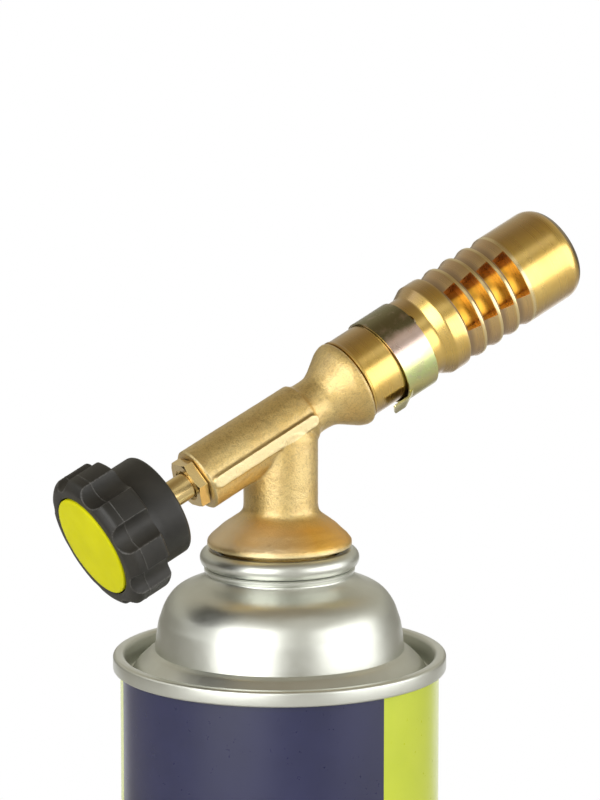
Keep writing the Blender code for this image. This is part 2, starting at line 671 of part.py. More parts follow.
def make_jet():
    """The jet tube that stands in the cup's floor, and the hexagonal jet on its end."""
    foot = NECK_FRONT - OVERRUN + SEAT
    socket_r = JET_SHANK_R + SEAT
    socket_floor = JET_TUBE_END - JET_SHANK_LENGTH
    collar_foot = CUP_FLOOR + SEAT
    collar_top = collar_foot + JET_COLLAR_LENGTH
    tube = [(JET_TUBE_BORE_R, foot), (JET_TUBE_R, foot), (JET_TUBE_R, collar_foot), (JET_COLLAR_R, collar_foot),
            (JET_COLLAR_R, collar_top), (JET_TUBE_R + SEAT, collar_top), (JET_TUBE_R + SEAT, JET_TUBE_END),
            (socket_r, JET_TUBE_END), (socket_r, socket_floor), (JET_TUBE_BORE_R, socket_floor)]
    turned("jet_tube", tube, SMALL_STEPS, BURNER_AXIS, TURNED_BRASS)
    hex_foot = JET_TUBE_END + SEAT
    hex_top = hex_foot + JET_HEX_LENGTH
    nose = hex_top + JET_NOSE_LENGTH
    jet = prism("jet_nozzle", JET_ACROSS_FLATS, hex_foot, hex_top, 0.0, BURNER_AXIS, PARTS)
    jet.data.materials[0] = TURNED_BRASS
    inner_r = JET_SHANK_R
    stack = [(0, socket_floor + SEAT), (inner_r, socket_floor + SEAT), (inner_r, hex_foot + OVERRUN / 2),
             (JET_NOSE_R * 2, hex_foot + OVERRUN / 2), (JET_NOSE_R * 2, hex_top), (JET_NOSE_R, nose), (0, nose)]
    boolean(jet, turned("jet_stack", stack, SMALL_STEPS, BURNER_AXIS, CUTTER_LOOK, CUTTERS, on_axis=True), "UNION")
    hole = [(0, socket_floor - OVERRUN), (JET_HOLE_R, socket_floor - OVERRUN), (JET_HOLE_R, nose + OVERRUN),
            (0, nose + OVERRUN)]
    boolean(jet, turned("jet_hole", hole, SMALL_STEPS, BURNER_AXIS, CUTTER_LOOK, CUTTERS, on_axis=True),
            "DIFFERENCE")


def groove_points():
    """The turned grooves: each drops steeply, then climbs slowly to the next narrow rib."""
    return [(HEAD_R - GROOVE_DEPTH * down, FIRST_GROOVE + number * GROOVE_PITCH + GROOVE_LENGTH * along)
            for number in range(GROOVES) for along, down in GROOVE_SHARES]


def head_outline():
    """Outside of the burner head, from its spigot to the rim of its mouth."""
    points = [(SPIGOT_R, CUP_FLOOR + SEAT), (SPIGOT_R, CUP_FACE + SEAT), (TUBE_R - TUBE_EDGE, CUP_FACE + SEAT),
              (TUBE_R, CUP_FACE + SEAT + TUBE_EDGE), (TUBE_R, COLLAR_BACK), (HEAD_R, COLLAR_FRONT)]
    points += groove_points()
    points.append((HEAD_R, NOSE_START))
    centre_r = HEAD_R - NOSE_ROUND
    end = pi / 2 - asin((MOUTH_LIP_R - centre_r) / NOSE_ROUND)
    nose = arc((0, 0), NOSE_ROUND, 0, end, 6)
    points += [(centre_r + out, NOSE_START + up) for out, up in nose[1:]]
    return points


def make_burner_head():
    """The ribbed tube: turned, then slotted in its grooves and drilled for air."""
    outside = head_outline()
    rim = outside[-1][1]
    web = CUP_FACE + SEAT + SPIGOT_WEB
    inside = [(MOUTH_LIP_R, rim - MOUTH_LIP_DEPTH), (HEAD_BORE_R, rim - MOUTH_LIP_DEPTH), (HEAD_BORE_R, web),
              (SPIGOT_BORE_R, web), (SPIGOT_BORE_R, CUP_FLOOR + SEAT)]
    head = turned("burner_head", outside + inside, TORCH_STEPS, BURNER_AXIS, POLISHED_BRASS)
    slots = []
    reach = HEAD_R + OVERRUN
    for side in range(SLOT_SETS):
        roll = HEAD_ROLL + side * 2 * pi / SLOT_SETS
        chord = 2 * HEAD_R * sin(SLOT_SPAN / 2)
        depth = reach - HEAD_BORE_R * cos(SLOT_SPAN / 2) + OVERRUN
        turn = Matrix.Rotation(roll, 4, "Z")
        for number in range(GROOVES):
            middle = FIRST_GROOVE + number * GROOVE_PITCH + SLOT_INSET + SLOT_WIDTH / 2
            mesh = bpy.data.meshes.new("slot")
            shape = bmesh.new()
            bmesh.ops.create_cube(shape, size=1.0)
            bmesh.ops.scale(shape, vec=(depth, chord, SLOT_WIDTH), verts=shape.verts)
            bmesh.ops.translate(shape, vec=(reach - depth / 2, 0, middle), verts=shape.verts)
            bmesh.ops.transform(shape, matrix=turn, verts=shape.verts)
            shape.to_mesh(mesh)
            shape.free()
            slots.append(bpy.data.objects.new("slot", mesh))
    boolean(head, joined("head_slots", slots, BURNER_AXIS), "DIFFERENCE")
    holes = []
    for number in range(AIR_HOLES):
        roll = AIR_HOLE_ROLL + number * 2 * pi / AIR_HOLES
        lay = Matrix.Rotation(roll, 4, "Z") @ Matrix.Rotation(pi / 2, 4, "Y")
        middle = between(HEAD_BORE_R, TUBE_R, 0.5)
        centre = (middle * cos(roll), middle * sin(roll), AIR_HOLE_PLACE)
        length = TUBE_R - HEAD_BORE_R + 3 * OVERRUN
        holes.append(cylinder("air_hole", AIR_HOLE_R, length, centre, BURNER_AXIS, 10, lay))
    boolean(head, joined("air_holes", holes, BURNER_AXIS), "DIFFERENCE")


def holder_back():
    """Place of the flame holder's back, counted from where the tube's nose starts."""
    return NOSE_START - HOLDER_RECESS - HOLDER_THICKNESS


def make_mixing_tube():
    """The thin tube behind the slots, centred in the head by its flange."""
    flange = COLLAR_BACK + MIXER_FLANGE_INSET
    back = flange - MIXER_TAIL
    front = holder_back() - SEAT
    flange_end = flange + MIXER_FLANGE_LENGTH
    flange_r = HEAD_BORE_R - SEAT
    bore = MIXER_R - MIXER_WALL
    tube = [(bore, back), (MIXER_R, back), (MIXER_R, flange), (flange_r, flange), (flange_r, flange_end),
            (MIXER_R, flange_end), (MIXER_R, front), (bore, front)]
    turned("mixing_tube", tube, SMALL_STEPS + 6, BURNER_AXIS, ORANGE_BRASS)


def make_flame_holder():
    """A thick disc in the mouth with a wide middle bore, a circle of ports and a notched edge."""
    outer = HEAD_BORE_R - SEAT
    back = holder_back()
    holder = ring("flame_holder", HOLDER_BORE_R, outer, back, back + HOLDER_THICKNESS, HOLDER_NOTCHES * 2, BURNER_AXIS,
                  STEEL)
    length = HOLDER_THICKNESS + 2 * OVERRUN
    middle = back + HOLDER_THICKNESS / 2
    cuts = []
    for number in range(HOLDER_PORTS):
        angle = 2 * pi * number / HOLDER_PORTS
        spot = (HOLDER_PORT_CIRCLE_R * cos(angle), HOLDER_PORT_CIRCLE_R * sin(angle), middle)
        cuts.append(cylinder("port", HOLDER_PORT_R, length, spot, BURNER_AXIS, 8))
    for number in range(HOLDER_NOTCHES):
        angle = 2 * pi * number / HOLDER_NOTCHES
        spot = (outer * cos(angle), outer * sin(angle), middle)
        cuts.append(cylinder("notch", HOLDER_NOTCH_R, length, spot, BURNER_AXIS, 6))
    boolean(holder, joined("holder_cuts", cuts, BURNER_AXIS), "DIFFERENCE")


def make_air_clip():
    """The band that covers the air holes: an open, skewed ring with a tab bent outwards."""
    steps = CLIP_STEPS
    mesh = bpy.data.meshes.new("air_clip")
    shape = bmesh.new()
    bmesh.ops.create_cone(shape, cap_ends=False, segments=steps, radius1=CLIP_R, radius2=CLIP_R, depth=OVERRUN)
    for vert in shape.verts:
        roll = Vector((vert.co.x, vert.co.y, 0)).angle(Vector((1, 0, 0))) * (1 if vert.co.y > 0 else -1)
        lean = cos(roll - CLIP_SKEW_ROLL)
        if vert.co.z > 0:
            vert.co.z = CLIP_FRONT_MEAN + CLIP_FRONT_SKEW * lean
        else:
            vert.co.z = CLIP_BACK_MEAN + CLIP_BACK_SKEW * lean

    def roll_of(items):
        """Mean roll of an edge or face about the burner axis."""
        middle = sum((v.co for v in items.verts), Vector()) / len(items.verts)
        return Vector((middle.x, middle.y, 0)).angle(Vector((1, 0, 0))) * (1 if middle.y > 0 else -1)

    gap = [face for face in shape.faces if abs(roll_of(face) - CLIP_GAP_ROLL) < CLIP_GAP_SPAN / 2]
    bmesh.ops.delete(shape, geom=gap, context="FACES")
    middle_z = (CLIP_BACK_MEAN + CLIP_FRONT_MEAN) / 2
    rim = [edge for edge in shape.edges if edge.is_boundary and all(v.co.z < middle_z for v in edge.verts)
           and CLIP_TAB_FROM < roll_of(edge) < CLIP_TAB_TO]
    for rise, place_of in ((CLIP_TAB_RISE, lambda z: z - CLIP_TAB_JOGGLE), (0.0, lambda z: CLIP_TAB_END)):
        grown = bmesh.ops.extrude_edge_only(shape, edges=rim)["geom"]
        rim = [item for item in grown if isinstance(item, bmesh.types.BMEdge)]
        for vert in (item for item in grown if isinstance(item, bmesh.types.BMVert)):
            flat = Vector((vert.co.x, vert.co.y, 0))
            flat = flat.normalized() * (flat.length + rise)
            vert.co = (flat.x, flat.y, place_of(vert.co.z))
    bmesh.ops.recalc_face_normals(shape, faces=shape.faces)
    shape.to_mesh(mesh)
    shape.free()
    item = bpy.data.objects.new("air_clip", mesh)
    sheet = item.modifiers.new("sheet", "SOLIDIFY")
    sheet.thickness = CLIP_SHEET
    sheet.offset = 0
    sheet.use_even_offset = True
    place(item, BURNER_AXIS, YELLOW_ZINC, PARTS)


def make_gland():
    """The gland nut with its washer and packing, and the ring in the spindle's groove."""
    nut_front = ARM_BACK - SEAT
    nut_back = nut_front - GLAND_NUT_HEIGHT
    ring_front = GLAND_BORE_FRONT - SEAT
    ring_middle = ring_front - SPINDLE_O_RING_WIRE_R
    packing_front = ring_middle - SPINDLE_O_RING_WIRE_R - SPINDLE_TRAVEL_ROOM - SEAT
    packing_back = packing_front - PACKING_LENGTH
    washer_front = packing_back - SEAT
    washer_back = washer_front - GLAND_WASHER_THICKNESS
    shank_front = washer_back - SEAT
    outer = GLAND_BORE_R - SEAT
    inner = SPINDLE_R + RUN
    ring("gland_packing", inner, outer, packing_back, packing_front, SMALL_STEPS, BURNER_AXIS, RUBBER)
    ring("gland_washer", inner, outer, washer_back, washer_front, SMALL_STEPS, BURNER_AXIS, TURNED_BRASS)
    o_ring("spindle_o_ring", SPINDLE_O_RING_R, SPINDLE_O_RING_WIRE_R, ring_middle, SMALL_STEPS, BURNER_AXIS, RUBBER)
    nut = prism("gland_nut", GLAND_NUT_ACROSS_FLATS, nut_back, nut_front, GLAND_NUT_ROLL, BURNER_AXIS, PARTS)
    nut.data.materials[0] = TURNED_BRASS
    corner_r = GLAND_NUT_ACROSS_FLATS / 2 / cos(pi / 6)
    nose = [(0, nut_back - OVERRUN / 100), (GLAND_NUT_NOSE_R, nut_back - OVERRUN / 100),
            (corner_r + SEAT, nut_back + GLAND_NUT_CHAMFER), (corner_r + SEAT, nut_front + OVERRUN),
            (0, nut_front + OVERRUN)]
    boolean(nut, turned("nut_nose", nose, SMALL_STEPS, BURNER_AXIS, CUTTER_LOOK, CUTTERS, on_axis=True), "INTERSECT")
    shank = [(0, nut_front - OVERRUN), (outer, nut_front - OVERRUN), (outer, shank_front), (0, shank_front)]
    boolean(nut, turned("nut_shank", shank, SMALL_STEPS, BURNER_AXIS, CUTTER_LOOK, CUTTERS, on_axis=True), "UNION")
    hole = [(0, nut_back - OVERRUN), (inner, nut_back - OVERRUN), (inner, shank_front + OVERRUN),
            (0, shank_front + OVERRUN)]
    boolean(nut, turned("nut_hole", hole, SMALL_STEPS, BURNER_AXIS, CUTTER_LOOK, CUTTERS, on_axis=True),
            "DIFFERENCE")
    make_spindle(ring_middle)


def make_spindle(ring_middle):
    """The valve spindle: needle point, groove for its ring, and the end that drives the knob."""
    groove_back = ring_middle - SPINDLE_O_RING_WIRE_R - SEAT
    groove_front = ring_middle + SPINDLE_O_RING_WIRE_R + SEAT
    hole_r = KNOB_SCREW_R + SEAT
    hole_floor = KNOB_WEB + KNOB_SCREW_LENGTH + SEAT
    points = [(0, NEEDLE_TIP), (NEEDLE_TIP_R, NEEDLE_TIP), (NEEDLE_R, NEEDLE_TIP - NEEDLE_TAPER),
              (NEEDLE_R, NEEDLE_SHOULDER), (SPINDLE_R, NEEDLE_SHOULDER), (SPINDLE_R, groove_front),
              (SPINDLE_GROOVE_R, groove_front), (SPINDLE_GROOVE_R, groove_back), (SPINDLE_R, groove_back),
              (SPINDLE_R, SPINDLE_SHOULDER), (SPINDLE_END_R, SPINDLE_SHOULDER), (SPINDLE_END_R, SPINDLE_END),
              (hole_r, SPINDLE_END), (hole_r, hole_floor), (0, hole_floor)]
    turned("valve_spindle", points, SMALL_STEPS, BURNER_AXIS, SPINDLE_METAL, on_axis=True)


def knob_outline():
    """Outside of the knob, from the rim round its cap over the grip to the hub's back."""
    return [(KNOB_CAP_POCKET_R, KNOB_FRONT), (KNOB_FACE_R, KNOB_FRONT + KNOB_EDGE / 3),
            (KNOB_R - KNOB_EDGE, KNOB_FRONT + KNOB_BEVEL - KNOB_EDGE), (KNOB_R, KNOB_FRONT + KNOB_BEVEL),
            (KNOB_R, KNOB_BACK - KNOB_EDGE), (KNOB_R - KNOB_EDGE, KNOB_BACK), (HUB_R, KNOB_BACK),
            (HUB_R, HUB_BACK - HUB_ROUND), (HUB_R - HUB_ROUND * (1 - cos(pi / 4)), HUB_BACK - HUB_ROUND / 3),
            (HUB_R - HUB_ROUND, HUB_BACK)]


def make_knob():
    """The knob: grip with scallops between its lobes, hub, bore, and the pocket for screw and cap."""
    bore = SPINDLE_R + SEAT
    end_bore = SPINDLE_END_R + SEAT
    step = SPINDLE_SHOULDER - SEAT
    inside = [(bore, HUB_BACK), (bore, step), (end_bore, step), (end_bore, KNOB_WEB), (KNOB_POCKET_R, KNOB_WEB),
              (KNOB_POCKET_R, KNOB_CAP_SHELF), (KNOB_CAP_POCKET_R, KNOB_CAP_SHELF)]
    knob = turned("knob", knob_outline() + inside, LOBES * 6, BURNER_AXIS, BLACK_PLASTIC)
    centre_r = KNOB_R - SCALLOP_DEPTH + SCALLOP_R
    length = KNOB_BACK - KNOB_FRONT + OVERRUN
    cuts = []
    for number in range(LOBES):
        roll = LOBE_ROLL + (number + 0.5) * 2 * pi / LOBES
        spot = (centre_r * cos(roll), centre_r * sin(roll), KNOB_BACK - length / 2 + OVERRUN / 10)
        cuts.append(cylinder("scallop", SCALLOP_R, length, spot, BURNER_AXIS, 28))
    boolean(knob, joined("scallops", cuts, BURNER_AXIS), "DIFFERENCE")


def make_knob_fittings():
    """The washer and screw that hold the knob, and the coloured cap that hides them."""
    washer_back = KNOB_WEB - SEAT
    washer_front = washer_back - KNOB_WASHER_THICKNESS
    ring("knob_washer", KNOB_SCREW_R + SEAT, KNOB_WASHER_R, washer_front, washer_back, SMALL_STEPS, BURNER_AXIS,
         STEEL)
    head_back = washer_front - SEAT
    head_front = head_back - KNOB_SCREW_HEAD_HEIGHT
    tip = KNOB_WEB + KNOB_SCREW_LENGTH
    screw = [(0, head_front), (KNOB_SCREW_HEAD_R, head_front), (KNOB_SCREW_HEAD_R, head_back),
             (KNOB_SCREW_R, head_back), (KNOB_SCREW_R, tip), (0, tip)]
    turned("knob_screw", screw, SMALL_STEPS, BURNER_AXIS, STEEL, on_axis=True)
    cap = [(0, KNOB_FRONT + CAP_THICKNESS), (CAP_R, KNOB_FRONT + CAP_THICKNESS)]
    cap += [(CAP_R * out, KNOB_FRONT - CAP_CROWN * up) for out, up in CAP_SHARES]
    turned("knob_cap", cap, TORCH_STEPS, BURNER_AXIS, LIME_PLASTIC, on_axis=True)


def middle_of_reach():
    """Where the cartridge's axis stands so that the origin lies under the middle of the object."""
    front = max(z * cos(ARM_TILT) + r * sin(ARM_TILT) for r, z in head_outline())
    back = min(z * cos(ARM_TILT) - r * sin(ARM_TILT) for r, z in knob_outline())
    return -(front + back) / 2


clear_scene()
PARTS = make_collection("gas_cartridge_torch")
CUTTERS = make_collection("cutters")

CUTTER_LOOK = make_material("cutter", (0.8, 0.1, 0.1), 0.5, 0.0)
TINPLATE = make_material("tinplate", (0.60, 0.60, 0.57), 0.28, 1.0)
PRINT = make_material("printed_tinplate", (0.02, 0.03, 0.12), 0.35, 0.2)
RUBBER = make_material("black_rubber", (0.02, 0.02, 0.02), 0.7, 0.0)
WHITE_PLASTIC = make_material("valve_plastic", (0.75, 0.75, 0.72), 0.4, 0.0)
STEEL = make_material("steel", (0.55, 0.55, 0.53), 0.35, 1.0)
BRONZE = make_material("sintered_bronze", (0.40, 0.22, 0.08), 0.7, 0.9)
FORGED_BRASS = make_material("forged_brass", (0.72, 0.47, 0.18), 0.42, 1.0)
TURNED_BRASS = make_material("turned_brass", (0.78, 0.55, 0.22), 0.25, 1.0)
POLISHED_BRASS = make_material("polished_brass", (0.80, 0.58, 0.25), 0.2, 1.0)
ORANGE_BRASS = make_material("inner_brass", (0.75, 0.36, 0.05), 0.3, 1.0)
YELLOW_ZINC = make_material("yellow_zinc", (0.62, 0.58, 0.36), 0.22, 1.0)
SPINDLE_METAL = make_material("spindle_metal", (0.80, 0.70, 0.55), 0.2, 1.0)
BLACK_PLASTIC = make_material("black_plastic", (0.025, 0.024, 0.022), 0.5, 0.0)
LIME_PLASTIC = make_material("lime_plastic", (0.63, 0.62, 0.03), 0.4, 0.0)

CAN_X = middle_of_reach()
FLOOR_AXIS = make_axis("floor_axis", (CAN_X, 0, 0))
SEAM_AXIS = make_axis("seam_axis", (CAN_X, 0, CAN_HEIGHT))
BURNER_AXIS = make_axis("burner_axis", (0, 0, CROSSING_Z), pi / 2 - ARM_TILT, SEAM_AXIS)
FORGING_AXIS = make_axis("forging_axis", (FORGING_DROP, 0, 0), carrier=BURNER_AXIS)

make_can_body()
make_can_dome()
make_can_bottom()
make_valve_cup()
make_cup_gasket()
make_cartridge_valve()
make_base_seal()
make_torch_body()
make_gas_path()
make_jet()
make_burner_head()
make_mixing_tube()
make_flame_holder()
make_air_clip()
make_gland()
make_knob()
make_knob_fittings()
for cut_piece in ("torch_body", "burner_head", "knob", "gland_nut", "jet_nozzle", "flame_holder"):
    shade_evenly(bpy.data.objects[cut_piece])

crossing = Vector((CAN_X, 0, CAN_HEIGHT + CROSSING_Z))
print("cartridge axis at x =", round(CAN_X, 6), " axes cross at", tuple(round(v, 6) for v in crossing))
print("burner axis points along", tuple(round(v, 6) for v in (cos(ARM_TILT), 0, sin(ARM_TILT))))
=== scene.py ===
# %% [markdown]
# # A gas cartridge torch, dressed for its photograph
# The rough solids of the torch are loaded as a fixed frame: every piece made below sits in that frame, in metres,
# and rides on one of its bodies, so that the knob, the air clip and the whole torch still move.

# %% Load the frame
from math import acos, cos, exp, hypot, pi, radians, sin, sqrt

import bmesh
import bpy
from mathutils import Matrix, Vector, noise


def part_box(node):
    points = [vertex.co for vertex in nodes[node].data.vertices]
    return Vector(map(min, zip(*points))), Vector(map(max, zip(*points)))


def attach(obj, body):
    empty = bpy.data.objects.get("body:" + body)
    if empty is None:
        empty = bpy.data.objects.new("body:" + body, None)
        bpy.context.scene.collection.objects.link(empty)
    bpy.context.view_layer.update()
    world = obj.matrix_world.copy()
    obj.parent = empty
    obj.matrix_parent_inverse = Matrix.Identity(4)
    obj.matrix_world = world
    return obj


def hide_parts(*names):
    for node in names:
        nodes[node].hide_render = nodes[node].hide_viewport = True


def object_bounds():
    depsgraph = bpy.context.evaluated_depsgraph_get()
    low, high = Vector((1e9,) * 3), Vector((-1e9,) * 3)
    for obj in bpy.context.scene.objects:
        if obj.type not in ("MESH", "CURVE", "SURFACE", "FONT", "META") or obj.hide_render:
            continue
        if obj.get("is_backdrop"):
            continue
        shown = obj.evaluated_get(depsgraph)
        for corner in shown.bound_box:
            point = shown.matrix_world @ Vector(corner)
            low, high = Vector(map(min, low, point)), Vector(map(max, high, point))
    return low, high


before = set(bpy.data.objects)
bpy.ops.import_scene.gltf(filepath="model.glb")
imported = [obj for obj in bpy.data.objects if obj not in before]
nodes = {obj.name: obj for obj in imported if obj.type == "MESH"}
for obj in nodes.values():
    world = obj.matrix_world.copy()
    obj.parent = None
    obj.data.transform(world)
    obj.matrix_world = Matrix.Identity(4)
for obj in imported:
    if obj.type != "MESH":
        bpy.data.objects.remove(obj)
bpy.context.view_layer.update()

print("nodes:", len(nodes))

# %% [markdown]
# ## Two axes
# Nearly everything on a blow torch is turned, so two axes carry the whole object: the upright one through the
# cartridge, and the slanted one through knob, arm and burner. The forging's skin lies a third of a millimetre lower
# than the bores that were machined in it, so it has a slanted axis of its own. Heights along the first are counted
# from the top of the can's seam, and places along the second from the point where the two cross. Sizes are written
# in millimetres, and MM turns them into Blender's metres. A roll is an angle round the slanted axis.

# %% The axes
MM = 0.001
can_low, can_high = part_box("can_body")
CAN_X = (can_low.x + can_high.x) / 2
SEAM_Z = can_high.z + 0.65 * MM
CROSSING = Vector((CAN_X, 0, SEAM_Z + 47.57 * MM))
TILT = radians(25.25)
FLOOR_AXIS = Matrix.Translation((CAN_X, 0, 0))
SEAM_AXIS = Matrix.Translation((CAN_X, 0, SEAM_Z))
BURNER_AXIS = Matrix.Translation(CROSSING) @ Matrix.Rotation(pi / 2 - TILT, 4, "Y")
BURNER_WAY = (cos(TILT), 0.0, sin(TILT))
FORGING_DROP = 0.3
FORGING_AXIS = BURNER_AXIS @ Matrix.Translation((FORGING_DROP * MM, 0, 0))
print("seam plane", round(SEAM_Z, 5), "crossing", [round(v, 5) for v in CROSSING])

# %% [markdown]
# ## Camera
# A long lens from about a metre away, a little above the torch and to its left side. The angle, the distance and the
# lens were worked out from circles and lengths of known size in the photograph: the seam, the cup, the tube's ends.

# %% Camera
PHOTO_AZIMUTH = radians(-30.386)
PHOTO_PITCH = radians(10.503)
PHOTO_DISTANCE = 0.950
PHOTO_FOCAL_PIXELS = 4654.5
PHOTO_HEIGHT_PIXELS = 800
FRONT = -120.4  # the camera's bearing from the can, in degrees
across = Vector((cos(PHOTO_AZIMUTH), sin(PHOTO_AZIMUTH), 0))
toward_camera = Vector((sin(PHOTO_AZIMUTH) * cos(PHOTO_PITCH), -cos(PHOTO_AZIMUTH) * cos(PHOTO_PITCH),
                        sin(PHOTO_PITCH)))
aim = Vector((CAN_X, 0, SEAM_Z + 52.828 * MM)) + across * 4.2 * MM
camera_data = bpy.data.cameras.new("photo_camera")
camera_data.sensor_width = 36
camera_data.lens = PHOTO_FOCAL_PIXELS * camera_data.sensor_width / PHOTO_HEIGHT_PIXELS
camera_data.clip_start = 0.01


def add_object(name, data):
    """Puts a new object into the scene."""
    made = bpy.data.objects.new(name, data)
    bpy.context.scene.collection.objects.link(made)
    return made


def looking_back(centre, way, distance):
    """Where a camera or a lamp stands that looks at a centre from some way off."""
    return Matrix.Translation(centre + way * distance) @ way.to_track_quat("Z", "Y").to_matrix().to_4x4()


camera = add_object("photo_camera", camera_data)
camera.matrix_world = looking_back(aim, toward_camera, PHOTO_DISTANCE)
bpy.context.scene.camera = camera
print("lens", round(camera_data.lens, 1), "mm")

# %% [markdown]
# ## Helpers for turned pieces
# A turned piece is a line of (radius, height) points swept round its axis. Writing the sweep as a grid of points,
# rather than using a modifier, leaves room for what a lathe can't do: a knob's lobes, a screw thread, a window cut
# through a wall. Rounded lines come from a few points through which a smooth curve is drawn.

# %% Sweep, curve and arc


def arc(centre, radius, first, last, count):
    """Points on a circle in the (radius, height) plane, from one angle to another, in degrees."""
    angles = [radians(first + (last - first) * i / (count - 1)) for i in range(count)]
    return [(centre[0] + radius * cos(angle), centre[1] + radius * sin(angle)) for angle in angles]


def smooth_line(points, per_span=4):
    """A smooth curve through the points (Catmull-Rom), with per_span steps between two of them."""
    padded = [points[0]] + list(points) + [points[-1]]
    made = []
    for a, b, c, d in zip(padded, padded[1:], padded[2:], padded[3:]):
        for i in range(per_span):
            t = i / per_span
            made.append(tuple(0.5 * (2 * q + (r - p) * t + (2 * p - 5 * q + 4 * r - s) * t * t
                                     + (3 * q - p - 3 * r + s) * t * t * t) for p, q, r, s in zip(a, b, c, d)))
    return made + [points[-1]]


def moved_left(line, distance):
    """The line moved to its own left side: the other face of a sheet that follows it."""
    sides = []
    for (x0, y0), (x1, y1) in zip(line, line[1:]):
        length = hypot(x1 - x0, y1 - y0)
        sides.append((-(y1 - y0) / length, (x1 - x0) / length))
    made = []
    for i, (x, y) in enumerate(line):
        a, b = sides[max(i - 1, 0)], sides[min(i, len(sides) - 1)]
        mitre = max(1 + a[0] * b[0] + a[1] * b[1], 0.5)
        made.append((x + (a[0] + b[0]) * distance / mitre, y + (a[1] + b[1]) * distance / mitre))
    return made


def round_the_axis(count):
    return [2 * pi * i / count for i in range(count)]


def swept(line, rolls, closed_line=False, reach=None, skip=None):
    """A grid swept round an axis: line in millimetres, reach(radius, height, roll) may change a point's radius."""
    shape = bmesh.new()
    columns = []
    on_axis = {}
    for roll in rolls:
        column = []
        for j, (radius, height) in enumerate(line):
            if radius == 0:
                if j not in on_axis:
                    on_axis[j] = shape.verts.new((0, 0, height * MM))
                column.append(on_axis[j])
                continue
            far = reach(radius, height, roll) if reach else radius
            column.append(shape.verts.new((far * cos(roll) * MM, far * sin(roll) * MM, height * MM)))
        columns.append(column)
    spans = len(line) if closed_line else len(line) - 1
    for i, (left, right) in enumerate(zip(columns, columns[1:] + columns[:1])):
        for j in range(spans):
            k = (j + 1) % len(line)
            corners = list(dict.fromkeys((left[j], left[k], right[k], right[j])))
            if len(corners) > 2 and not (skip and skip(i, j)):
                shape.faces.new(corners)
    return shape, columns


def plain_piece(name, shape, axis):
    """Turns a bmesh into an object on its axis."""
    bmesh.ops.recalc_face_normals(shape, faces=shape.faces)
    mesh = bpy.data.meshes.new(name)
    shape.to_mesh(mesh)
    shape.free()
    mesh.transform(axis)
    return add_object(name, mesh)


def shade(piece, sharp):
    """Shades a piece smooth, but not over edges that bend by more than so many degrees."""
    piece.data.shade_smooth()
    piece.data.set_sharp_from_angle(angle=radians(sharp))


def finish_mesh(name, shape, axis, sharp=32):
    piece = plain_piece(name, shape, axis)
    shade(piece, sharp)
    return piece


def turned(name, line, axis, columns, closed_line=True, reach=None, sharp=32):
    return finish_mesh(name, swept(line, round_the_axis(columns), closed_line, reach)[0], axis, sharp)


def helper_turned(name, line, axis, reach=None):
    """A turned shape that is only joined to a piece or cut away from it."""
    return plain_piece(name, swept(line, round_the_axis(120), reach=reach)[0], axis)


def add_bar(shape, lay, radius, length, sides):
    """Adds a straight bar with so many sides to a bmesh; the matrix lay turns it and says where its middle is."""
    bmesh.ops.create_cone(shape, cap_ends=True, segments=sides, radius1=radius * MM, radius2=radius * MM,
                          depth=length * MM, matrix=lay)


def soften(piece, width, angle):
    """Rounds the real edges of a piece by a fraction of a millimetre, so that they catch the light."""
    edge = piece.modifiers.new("edge", "BEVEL")
    edge.width = width * MM
    edge.segments = 2
    edge.limit_method = "ANGLE"
    edge.angle_limit = radians(angle)
    edge.use_clamp_overlap = True
    edge.harden_normals = True


def settle(piece, sharp=32):
    """Applies a piece's modifiers, so that its mesh can be worked on further."""
    bpy.context.view_layer.update()
    solid = bpy.data.meshes.new_from_object(piece.evaluated_get(bpy.context.evaluated_depsgraph_get()))
    piece.modifiers.clear()
    piece.data = solid
    shade(piece, sharp)


def machine(piece, sharp, *steps):
    """Joins helpers to a piece or cuts them away, one after the other; the helpers are gone afterwards."""
    for operation, helper in steps:
        change = piece.modifiers.new(helper.name, "BOOLEAN")
        change.operation = operation
        change.solver = "MANIFOLD"
        change.object = helper
    settle(piece, sharp)
    for operation, helper in steps:
        bpy.data.objects.remove(helper)


def write_mark(piece, label, values):
    """Writes one value for each point of a mesh, which a material can read by its label."""
    piece.data.attributes.new(label, "FLOAT", "POINT").data.foreach_set("value", values)


def dress(piece, body, slot, material, *replaced):
    """Gives a piece its body and its finish, and hides the solids that it stands for."""
    piece.data.materials.clear()
    piece.data.materials.append(material)
    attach(piece, body)
    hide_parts(*replaced)
    print("made", piece.name, "with", len(piece.data.polygons), "faces")


# %% [markdown]
# ## Shader groups
# Metal is never one even colour. Three small effects are shared: a fine grain that also feeds the bump, slow drifts
# of tone from handling and tarnish, and the hair lines that a lathe tool leaves round a turned piece. A fourth group
# measures where a point lies on the slanted axis, for colours that change along it or round it. Each puts out masks
# or heights, and each material mixes them in with its own strengths.

# %% Node helpers


def feed(tree, socket, value):
    """Links a node's output to a socket, or gives the socket a number, a vector or a colour."""
    if isinstance(value, bpy.types.NodeSocket):
        tree.links.new(value, socket)
    else:
        socket.default_value = (*value, 1) if socket.type == "RGBA" else value


def add_node(tree, kind, *values, **settings):
    """A new node with its settings made and its first inputs fed in their order."""
    node = tree.nodes.new("ShaderNode" + kind)
    for label, setting in settings.items():
        setattr(node, label, setting)
    for socket, value in zip(node.inputs, values):
        feed(tree, socket, value)
    return node


def math_node(tree, operation, *values):
    return add_node(tree, "Math", *values, operation=operation).outputs[0]


def times(tree, first, second):
    return math_node(tree, "MULTIPLY", first, second)


def vector_node(tree, operation, *values):
    """Vector arithmetic: a dot product or a length is a number, every other result is a vector."""
    node = add_node(tree, "VectorMath", *values, operation=operation)
    return node.outputs["Value" if operation in ("DOT_PRODUCT", "LENGTH") else "Vector"]


def split(tree, vector):
    """The X, Y and Z of a vector."""
    return add_node(tree, "SeparateXYZ", vector).outputs


